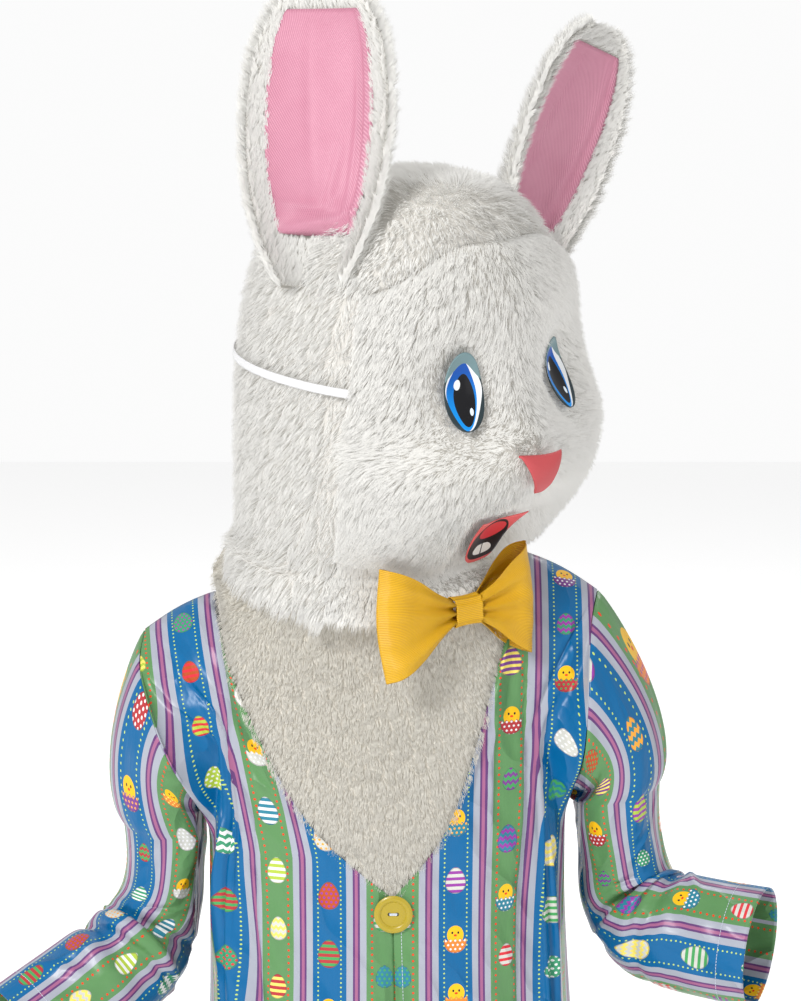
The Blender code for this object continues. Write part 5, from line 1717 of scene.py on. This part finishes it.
@dataclass
class Mask:
    """The hood, face and throat in long plush, and what is laid on them."""

    fur: Material
    ground: Material
    rng: np.random.Generator
    head: Head = field(default_factory=Head)
    depth: float = 0.0085

    def comb(self, grid: np.ndarray, face: bool) -> np.ndarray:
        """The way the pile is combed: down, and on the face away from the muzzle's middle.

        Args:
            grid: Points of the mask.
            face: Whether they are on the face.

        Returns:
            A direction for each point.
        """
        down = np.broadcast_to(-self.head.up, grid.shape)
        if not face:
            return down + self.head.forward * -0.25
        local = grid - HEAD_CENTRE
        side = local @ self.head.left
        up = local @ self.head.up
        out = self.head.left * (np.tanh(side / 0.03) * 0.9)[..., None]
        return down * (1 - 1.1 * np.exp(-((up + 0.06) / 0.03) ** 2))[..., None] + out

    def build(self, eyes: Dict[str, Material], coral: Material, mouth: Material,
              elastic: Material) -> None:
        """Builds the mask.

        Args:
            eyes: The eyes' materials by side.
            coral: The nose's material.
            mouth: The mouth's material.
            elastic: The strap's material.
        """
        head = self.head
        angles = np.linspace(-FACE_SEAM_ANGLE, FACE_SEAM_ANGLE, 61)
        around = np.linspace(FACE_SEAM_ANGLE, 2 * math.pi - FACE_SEAM_ANGLE, 71)
        plates = self.plates(eyes, coral, mouth)
        for name, bands, turns, blades, length, stand in (
            ("mask_face", np.linspace(1, 2, 71), angles, 57000, 0.0175, FACE_STAND + PILE_STAND),
            ("mask_hood", np.linspace(1, 3, 71), around, 37000, 0.0150, 0.0),
            ("mask_crown", np.linspace(0.02, 1, 31), np.linspace(0, 2 * math.pi, 97), 17500, 0.0150, 0.0),
            ("mask_throat", np.linspace(2, 3, 15), angles, 9000, 0.0100, 0.0),
        ):
            outer = head.surface(head.seam_rows(bands, turns), turns)
            ways = normals_of(outer, HEAD_CENTRE)
            if stand:
                outer = outer + ways * (stand * (1 - np.linspace(-1, 1, len(bands)) ** 12))[:, None, None]
            deep = self.depth if name != "mask_throat" else 0.002
            base = outer - ways * deep
            sheet = sheet_of(base, HEAD_CENTRE)
            nodes = {"mask_crown": (), "mask_hood": ("mask_hood",)}.get(name, (name,))
            ground = place_piece(sheet.make(name + "_ground", self.ground, 0.0012), "white_plush", *nodes)
            pile = Fur(name + "_pile", blades, length, 0.0010, lean=0.75, droop=0.18, clump=0.30,
                       rng=self.rng)
            comb = self.comb(outer, name == "mask_face")
            near = np.zeros((len(bands) - 1, len(turns) - 1), bool)
            if name == "mask_hood":
                near[:len(bands) // 2, :4] = near[:len(bands) // 2, -4:] = True
            elif name == "mask_crown":
                near[-3:] = np.cos(turns[:-1]) > math.cos(FACE_SEAM_ANGLE)
            share = FIELD_SHARE * near.mean()
            pile.sow(base, ways, comb, FIELD_SHARE - share, keep=~near)
            if share:
                pile.sow(base, ways, comb, share, keep=near, size=SEAM_PILE)
            rim = (base[-4:], ways[-4:] - self.head.up * 0.6, comb[-4:])
            pile.sow(*rim, 0.06, size=RIM_PILE if name in ("mask_hood", "mask_throat") else 1.0)
            made = place_piece(pile.grow(self.fur, plates if stand else None, PLATE_ROOM), "white_plush")
            sheet.declare(ground, "stretched", [name if name != "mask_crown" else "mask_hood"], [made])
        self.strap(elastic)

    def plates(self, eyes: Dict[str, Material], coral: Material,
               mouth: Material) -> BVHTree:
        """Lays the eyes, nose and mouth on the face.

        Args:
            eyes: The eyes' materials by side.
            coral: The nose's material.
            mouth: The mouth's material.

        Returns:
            A tree of the plates, that the pile keeps clear of.
        """
        points, faces = [], []
        side = PLATE_STEPS + 1
        for name, spec, shape, finish, slot in (
            ("eye_left", EYE_LEFT, Shape.OVAL, eyes["left"], "printed_eye"),
            ("eye_right", EYE_RIGHT, Shape.OVAL, eyes["right"], "printed_eye"),
            ("nose", NOSE, Shape.TRIANGLE, coral, "coral_nose"),
            ("mouth", MOUTH, Shape.GRIN, mouth, "printed_mouth"),
        ):
            spec = Patch(*spec)
            grid = self.head.patch(spec, side)
            ways = normals_of(grid, HEAD_CENTRE)
            grid = grid + ways * (FACE_STAND + PILE_STAND + 0.001 + spec.thick * 0.5)
            if name == "nose":
                v, u = np.mgrid[-1:1:side * 1j, -1:1:side * 1j]
                grid = grid + ways * (0.0045 * (1 - np.maximum(u * u, v * v)) ** 0.6)[..., None]
            grid, ways = shape.drawn(grid), unit(shape.drawn(ways))
            v, u = np.mgrid[1:-1:side * 1j, -1:1:side * 1j]
            flat = np.stack([u * shape.width(-v), v], -1)
            piece = Sheet(grid, ways, flat).make(name + "_plate", finish, max(spec.thick * 0.5, 0.001))
            place_piece(piece, slot, name)
            start = len(points)
            points += [Vector(p) for p in grid.reshape(-1, 3)]
            for i in range(PLATE_STEPS):
                for j in range(PLATE_STEPS):
                    a = start + i * side + j
                    faces.append((a, a + 1, a + side + 1, a + side))
        return BVHTree.FromPolygons(points, faces)

    def strap(self, elastic: Material) -> None:
        """Runs the elastic round the back of the hood.

        Args:
            elastic: Its material.
        """
        turns = np.linspace(FACE_SEAM_ANGLE - 0.03, 2 * math.pi - FACE_SEAM_ANGLE + 0.03, 121)
        rows = np.linspace(STRAP_ROW - STRAP_HALF, STRAP_ROW + STRAP_HALF, 7)
        grid = self.head.surface(np.repeat(rows[:, None], len(turns), 1), turns)
        ways = normals_of(grid, HEAD_CENTRE)
        sheet = sheet_of(grid + ways * (0.0012 + 0.0004 * np.sin(np.linspace(0, math.pi, 7)))[:, None, None],
                         HEAD_CENTRE)
        place_piece(sheet.make("elastic_band", elastic, 0.001), "white_elastic", "elastic_strap")


class Shape(Enum):
    """Outlines of the plates on the face."""

    OVAL = "oval"
    TRIANGLE = "triangle"
    GRIN = "grin"

    def width(self, v: np.ndarray) -> np.ndarray:
        """How wide the outline is.

        Args:
            v: Down it, from -1 to 1.

        Returns:
            The share of the full width.
        """
        if self is Shape.TRIANGLE:
            return 0.12 + 0.88 * (1 - (v + 1) / 2) ** 0.9
        if self is Shape.GRIN:
            return 0.10 + 0.90 * np.sqrt(np.maximum(1 - ((v + 1) / 2) ** 2.2, 0))
        return np.ones_like(v)

    def drawn(self, grid: np.ndarray) -> np.ndarray:
        """A square patch drawn in to the outline.

        Args:
            grid: Rows and columns of vectors.

        Returns:
            The same rows and columns inside the outline.
        """
        rows, columns = grid.shape[:2]
        v, u = np.mgrid[-1:1:rows * 1j, -1:1:columns * 1j]
        if self is Shape.OVAL:
            v, u = v * np.sqrt(1 - u * u / 2), u * np.sqrt(1 - v * v / 2)
        elif self is Shape.GRIN:
            v, u = v - 0.05 * (1 - u * u) * (v - 1), u * self.width(v)
        else:
            u = u * self.width(v)
        i, j = (v + 1) / 2 * (rows - 1), (u + 1) / 2 * (columns - 1)
        a = np.clip(i.astype(int), 0, rows - 2)
        b = np.clip(j.astype(int), 0, columns - 2)
        s, t = (i - a)[..., None], (j - b)[..., None]
        top = grid[a, b] * (1 - t) + grid[a, b + 1] * t
        low = grid[a + 1, b] * (1 - t) + grid[a + 1, b + 1] * t
        return top * (1 - s) + low * s


@dataclass
class Ear:
    """One ear: plush outside with rolled rims, satin inside."""

    side: str
    spec: Table
    fur: Material
    ground: Material
    satin: Material
    rng: np.random.Generator

    def grid(self, rows: int, columns: int) -> Tuple[np.ndarray, np.ndarray, np.ndarray]:
        """The ear's front.

        Args:
            rows: Steps up it.
            columns: Steps across it.

        Returns:
            Its points, its thickness at each, and the way it faces.
        """
        foot, tip, facing = (np.array(a, float) for a in self.spec)
        way = unit(tip - foot)
        facing = unit(facing - way * (facing @ way))
        across = np.cross(way, facing)
        c = np.linspace(-1, 1, columns + 1)[:, None]
        made, thick = [], []
        for s in np.linspace(EAR_START, 1, rows + 1):
            half, curl, body = through(EAR_SECTIONS, s)
            made.append(foot + (tip - foot) * s + across * half * np.sin(c * 1.25) / math.sin(1.25)
                        + facing * curl * c * c)
            thick.append(body * (1 - 0.55 * np.abs(c) ** 3))
        return np.array(made), np.array(thick), facing

    def build(self) -> None:
        """Builds the ear."""
        front, thick, facing = self.grid(60, 44)
        ways = normals_of(front, front - facing)
        back = front - ways * thick
        back = back + ways * np.minimum(0.004, thick * 0.35)
        base = Sheet(back, -ways, np.zeros((*front.shape[:2], 2)))
        lip = Sheet((front - ways * LIP_DEPTH)[::2, ::2], ways[::2, ::2], np.zeros((31, 23, 2)))
        place_piece(lip.make(f"ear_{self.side}_lip", self.ground, 0.0), "white_plush")
        ground = place_piece(base.make(f"ear_{self.side}_ground", self.ground, 0.001), "white_plush",
                             "ear_" + self.side)
        way = unit(front[-1].mean(0) - front[0].mean(0))
        pile = Fur(f"ear_{self.side}_pile", 32000, 0.0125, 0.0010, lean=0.55, droop=0.05, clump=0.35,
                   rng=self.rng)
        pile.sow(back, -ways, way, 0.42)
        rim = np.ones((front.shape[0] - 1, front.shape[1] - 1), bool)
        rim[9:-5, 8:-8] = False
        pile.sow(front - ways * LIP_DEPTH, ways, way, 0.36, keep=rim)
        for edge in (0, -1):
            outer = (front[:, edge] + back[:, edge]) / 2 - front[:, 22]
            band = np.stack([front[:, edge], back[:, edge]], 1)
            for turn in (-0.7, 0.7):
                rolled = np.repeat(unit(unit(outer) + facing * turn)[:, None], 2, 1)
                pile.sow(band, rolled, way, 0.055, size=1.2)
        made = place_piece(pile.grow(self.fur), "white_plush")
        base.declare(ground, "stretched", ["ear_" + self.side], [made])
        inner = (slice(10, -5), slice(7, -7))
        sheet = sheet_of(front[inner] + ways[inner] * LINING_RISE, front[inner] - facing)
        sheet.raised(CREASES["ear_lining_" + self.side])
        piece = place_piece(sheet.make(f"ear_lining_{self.side}_satin", self.satin, 0.001), "pink_satin",
                            "ear_lining_" + self.side)
        sheet.declare(piece, "stretched", ["ear_" + self.side])


@dataclass
class Bow:
    """The bow tie's two loops and knot, in ribbed ribbon."""

    finish: Material
    head: Head

    def build(self) -> None:
        """Builds the bow tie."""
        out = np.array((math.sin(BOW_YAW), -math.cos(BOW_YAW), 0.0))
        axis = unit(np.array((math.cos(BOW_YAW), math.sin(BOW_YAW), BOW_SLOPE)))
        up = unit(np.cross(out, axis))
        up = up if up[2] > 0 else -up
        middle = self.head.surface(np.array([[BOW_ROW]]), np.array([BOW_ANGLE]))[0, 0]
        middle = middle - np.array((0, 0, BOW_DROP)) + out * BOW_STAND
        knot_half = np.array(KNOT_HALF)
        for name, side in (("bow_loop_left", 1), ("bow_loop_right", -1)):
            rows = []
            for turn in np.linspace(-math.pi / 2, math.pi / 2, 65):
                share = max(math.cos(turn), 0.0) ** 0.75 if abs(turn) < math.pi / 2 - 1e-9 else 0.0
                face = -math.copysign(1, turn) if turn else 0
                half, depth = through(LOOP_SECTIONS, share)
                depth = depth * min(1.0, abs(turn) * 2.2)
                v = np.linspace(-1, 1, 73)
                pleat = PLEAT_DEPTH * np.cos(v * math.pi * LOOP_PLEATS) * (1 - share) ** 1.2
                pleat = pleat + 0.0010 * np.sin(v * 13 + side) * (1 - share) ** 0.6 * share * 3
                reach = knot_half[0] * 0.55 + LOOP_LONG[side] * share * (1 + 0.05 * np.cos(v * 2.2) - 0.05)
                reach = reach + knot_half[0] * 0.45 - 0.002
                rows.append(middle + side * axis * reach[:, None] + up * (half * v)[:, None]
                            + out * (face * (depth + 0.001 + pleat))[:, None])
            grid = np.array(rows)
            sheet = sheet_of(grid, middle + axis * side * LOOP_LONG[side] * 0.5)
            piece = place_piece(sheet.make(name + "_ribbon", self.finish, 0.0010), "yellow_ribbon", name)
            sheet.declare(piece, "gathered", ["bow_knot"])
        rows = []
        along_knot = np.linspace(-1, 1, 25) * knot_half[0] * 0.9
        turns = np.linspace(0, 2 * math.pi, 49)[:-1]
        for p in np.linspace(-1, 1, 25):
            tuck = 0.90 + 0.07 * p * p - 0.05 * np.cos(turns * 9 + 1.0)
            tall = np.array([rounded(math.sin(t), 3.2) for t in turns]) * knot_half[1] * tuck
            deep = np.array([rounded(math.cos(t), 3.2) for t in turns]) * knot_half[2] * tuck
            rows.append(middle + axis * p * knot_half[0] * 0.9 + up * tall[:, None] + out * deep[:, None])
        sheet = sheet_of(np.array(rows), middle + axis * along_knot[:, None, None], True)
        piece = place_piece(sheet.make("bow_knot_ribbon", self.finish, 0.0010), "yellow_ribbon", "bow_knot")
        sheet.declare(piece, "gathered", ["bow_loop_left", "bow_loop_right"])


@dataclass
class Bib:
    """The fur panel that fills the neckline."""

    fur: Material
    ground: Material
    rng: np.random.Generator
    cut: Cut = field(default_factory=Cut)

    def grid(self, rows: int, columns: int) -> np.ndarray:
        """The panel's outer points.

        Args:
            rows: Steps up it.
            columns: Steps across it.

        Returns:
            Rows and columns of points.
        """
        grid = []
        for share in np.linspace(0.004, 1.0, rows + 1):
            spread = share ** 0.8
            right, left = self.cut.neckline_point(-1, spread), self.cut.neckline_point(1, spread)
            edge, reach = (left + right) / 2, (left - right) / 2
            high = ease(spread, 0.5, 1.0)
            middle_y = edge[1] - BIB_BULGE * ease(reach[0], 0.0, 0.08) * (1 - high)
            middle_y += (BIB_TOP_FRONT - edge[1]) * high
            rise = (BIB_TOP_HEIGHT - edge[2]) * high
            line = []
            for turn in np.linspace(-math.pi / 2, math.pi / 2, columns + 1):
                point = edge + reach * math.sin(turn)
                swell = max(math.cos(turn), 0.0)
                near = (1 - swell) * (1 - math.sin(turn)) / 2
                far = (1 - swell) * (1 + math.sin(turn)) / 2
                point[1] += (middle_y - edge[1]) * swell
                ends = BIB_END_RISE * near - BIB_FAR_DROP * far
                point[2] += rise * swell ** 0.5 + ends * ease(spread, 0.75, 1.0)
                allowed = BIB_NECK + max(rim_height(point[0]) - BIB_RIM_ROOM - point[2], 0.0) * 2.0
                radius = math.hypot(point[0], point[1])
                if radius > allowed:
                    point[:2] *= allowed / radius
                line.append(point)
            grid.append(line)
        grid = np.array(grid)
        grid[:, 0] += (-BIB_EDGE_OUT, BIB_EDGE_BACK, 0)
        grid[:, -1] += (BIB_EDGE_OUT, BIB_EDGE_BACK, 0)
        flap = []
        for step in range(1, BIB_FLAP_ROWS + 1):
            line = grid[-1] + np.array(BIB_FLAP_STEP) * step
            radius = np.hypot(line[:, 0], line[:, 1])
            line[:, :2] *= np.minimum(1, np.maximum(BIB_NECK, radius - step * 0.004) / radius)[:, None]
            flap.append(line)
        return np.concatenate([grid, flap])

    def build(self) -> None:
        """Builds the bib."""
        outer = self.grid(44, 52)
        ways = normals_of(outer, outer + (0, 1, 0))
        base = outer - ways * 0.0045
        sheet = sheet_of(base, base + (0, 1, 0))
        ground = place_piece(sheet.make("bib_ground", self.ground, 0.0012), "cream_plush", "bib")
        pile = Fur("bib_pile", 46000, 0.0085, 0.0008, lean=0.6, droop=0.25, clump=0.28, rng=self.rng)
        pile.sow(base, ways, np.array((0, 0, -1.0)), 1.0)
        sheet.declare(ground, "stretched", ["bib"], [place_piece(pile.grow(self.fur), "cream_plush")])


@dataclass
class Button:
    """A two-hole button, turned from its outline, with its thread."""

    name: str
    height: float
    plastic: Material
    thread: Material
    cut: Cut = field(default_factory=Cut)

    def build(self) -> None:
        """Builds the button."""
        at = self.cut.torso_point(self.height, self.cut.ring_angle(CLOSURE_X, self.height))
        at = at + np.array((0, -0.0012, 0))
        rows = []
        turns = np.linspace(0, 2 * math.pi, 65)[:-1]
        for radius, rise in BUTTON_PROFILE:
            radius = max(radius, 0.0001)
            rows.append([at + np.array((radius * math.cos(t), -rise, radius * math.sin(t))) for t in turns])
        sheet = sheet_of(np.array(rows), at + np.array((0, -0.002, 0)), True)
        piece = sheet.make(self.name + "_disc", self.plastic, 0.0)
        pick(piece)
        bpy.ops.object.shade_smooth_by_angle(angle=math.radians(50))
        cutters = []
        for side in (-1, 1):
            bpy.ops.mesh.primitive_cylinder_add(
                vertices=24, radius=0.0019, depth=0.02, rotation=(math.pi / 2, 0, 0),
                location=tuple(at + np.array((side * 0.00375, -0.003, 0))),
            )
            cutters.append(bpy.context.object)
        for cutter in cutters:
            pick(piece)
            bpy.ops.object.modifier_add(type="BOOLEAN")
            piece.modifiers[-1].operation = "DIFFERENCE"
            piece.modifiers[-1].object = cutter
            bpy.ops.object.modifier_apply(modifier=piece.modifiers[-1].name)
            bpy.data.objects.remove(cutter)
        place_piece(piece, "mustard_plastic", self.name)
        for lift in (-0.0006, 0.0006):
            bpy.ops.mesh.primitive_cylinder_add(
                vertices=12, radius=0.0006, depth=0.0075,
                location=tuple(at + np.array((0, -0.0031, lift))), rotation=(0, math.pi / 2, 0),
            )
            strand = bpy.context.object
            strand.name = self.name + "_thread"
            bpy.ops.object.transform_apply(location=True, rotation=True, scale=True)
            strand.data.materials.append(self.thread)
            place_piece(strand, "mustard_plastic")


# Stage

def build_stage() -> None:
    """Lays a pale floor and backdrop, with soft light and the photo's camera."""
    bpy.ops.mesh.primitive_plane_add(size=12.0, location=(0, 0, HEM_Z - 0.02))
    floor = bpy.context.object
    floor.name = "floor"
    bpy.ops.object.transform_apply(location=True)
    graph = Graph("floor")
    shade = graph.noise(3.0, 2.0) * 0.02
    floor.data.materials.append(graph.finish(
        Base_Color=graph.mix(shade, (0.93, 0.93, 0.93), (0.90, 0.90, 0.90)), Roughness=0.9,
        Emission_Color=(1.0, 1.0, 1.0), Emission_Strength=FLOOR_GLOW))
    bpy.context.scene.view_settings.view_transform = "Standard"
    sky = Graph("studio", world=True)
    seen = Value(sky, sky.node("ShaderNodeLightPath").outputs["Is Camera Ray"])
    bpy.context.scene.world = sky.finish(
        Color=(1.0, 1.0, 1.0), Strength=seen * (SKY_SEEN - SKY_LIGHT) + SKY_LIGHT)
    for name, place, size, power in LIGHTS:
        bpy.ops.object.light_add(type="AREA", location=place)
        lamp = bpy.context.object
        lamp.name = name
        lamp.data.size = size
        lamp.data.energy = power
        lamp.rotation_mode = "QUATERNION"
        lamp.rotation_quaternion = (Vector((0, 0, -0.1)) - Vector(place)).to_track_quat("-Z", "Y")
    tilt = CAMERA_TILT
    back = Vector((0, -math.cos(tilt), math.sin(tilt)))
    target = Vector((VIEW_X, 0, 0)) + Vector((0, math.sin(tilt), math.cos(tilt))) * VIEW_HEIGHT
    bpy.ops.object.camera_add(location=target + back * CAMERA_FAR)
    camera = bpy.context.object
    camera.rotation_mode = "QUATERNION"
    camera.rotation_quaternion = (-back).to_track_quat("-Z", "Y")
    camera.data.sensor_width = SENSOR
    camera.data.lens = SENSOR * CAMERA_FAR / FRAME_LONG
    bpy.context.scene.camera = camera


def main() -> None:
    """Builds the costume's looks and the scene."""
    logging.basicConfig(level=logging.INFO, format="%(message)s")
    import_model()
    rng = np.random.default_rng(SEED)
    print_satin = PrintFinish().make()
    thread = PlainFinish("pale_thread", linear(205, 212, 225), 0.7).make()
    # Pile colours: the first is the roots' painted shade, the second the tips'
    white = FurFinish("white_pile", linear(228, 227, 223), linear(239, 238, 235)).make()
    white_ground = PlainFinish("white_ground", linear(204, 201, 195), 0.9).make()
    # The cream pile likewise has painted shade at its roots
    cream = FurFinish("cream_pile", linear(212, 208, 199), linear(228, 225, 217)).make()
    cream_ground = PlainFinish("cream_ground", linear(208, 203, 192), 0.9).make()
    # Satins: the second colour is the painted shade on the ribs, also the dark end of their random tone
    pink = SatinFinish("pink_satin", linear(206, 144, 164), linear(174, 94, 122), 0.0024, 0.6).make()
    yellow = SatinFinish("yellow_ribbon", linear(224, 174, 0), linear(178, 122, 0), 0.0017, 0.0, 0.42).make()
    mustard = PlainFinish("mustard_plastic", linear(172, 150, 24), 0.34, 0.2).make()
    Jacket(print_satin, thread).build()
    mask = Mask(white, white_ground, rng)
    mask.build(
        {side: EyeFinish("printed_eye_" + side).make() for side in ("left", "right")},
        PlainFinish("coral_nose", linear(190, 72, 76), 0.5).make(),
        MouthFinish().make(),
        # The elastic's second colour is painted shade on its ribs, with random tone
        SatinFinish("white_elastic", linear(240, 240, 240), linear(205, 205, 208), 0.0012, 0.0, 0.7).make(),
    )
    for side, spec in (("left", EAR_LEFT), ("right", EAR_RIGHT)):
        Ear(side, spec, white, white_ground, pink, rng).build()
    Bow(yellow, mask.head).build()
    Bib(cream, cream_ground, rng).build()
    for number, height in enumerate(BUTTON_HEIGHTS, 1):
        Button(f"button_{number}", height, mustard, thread).build()
    build_stage()


if __name__ == "__main__":
    main()
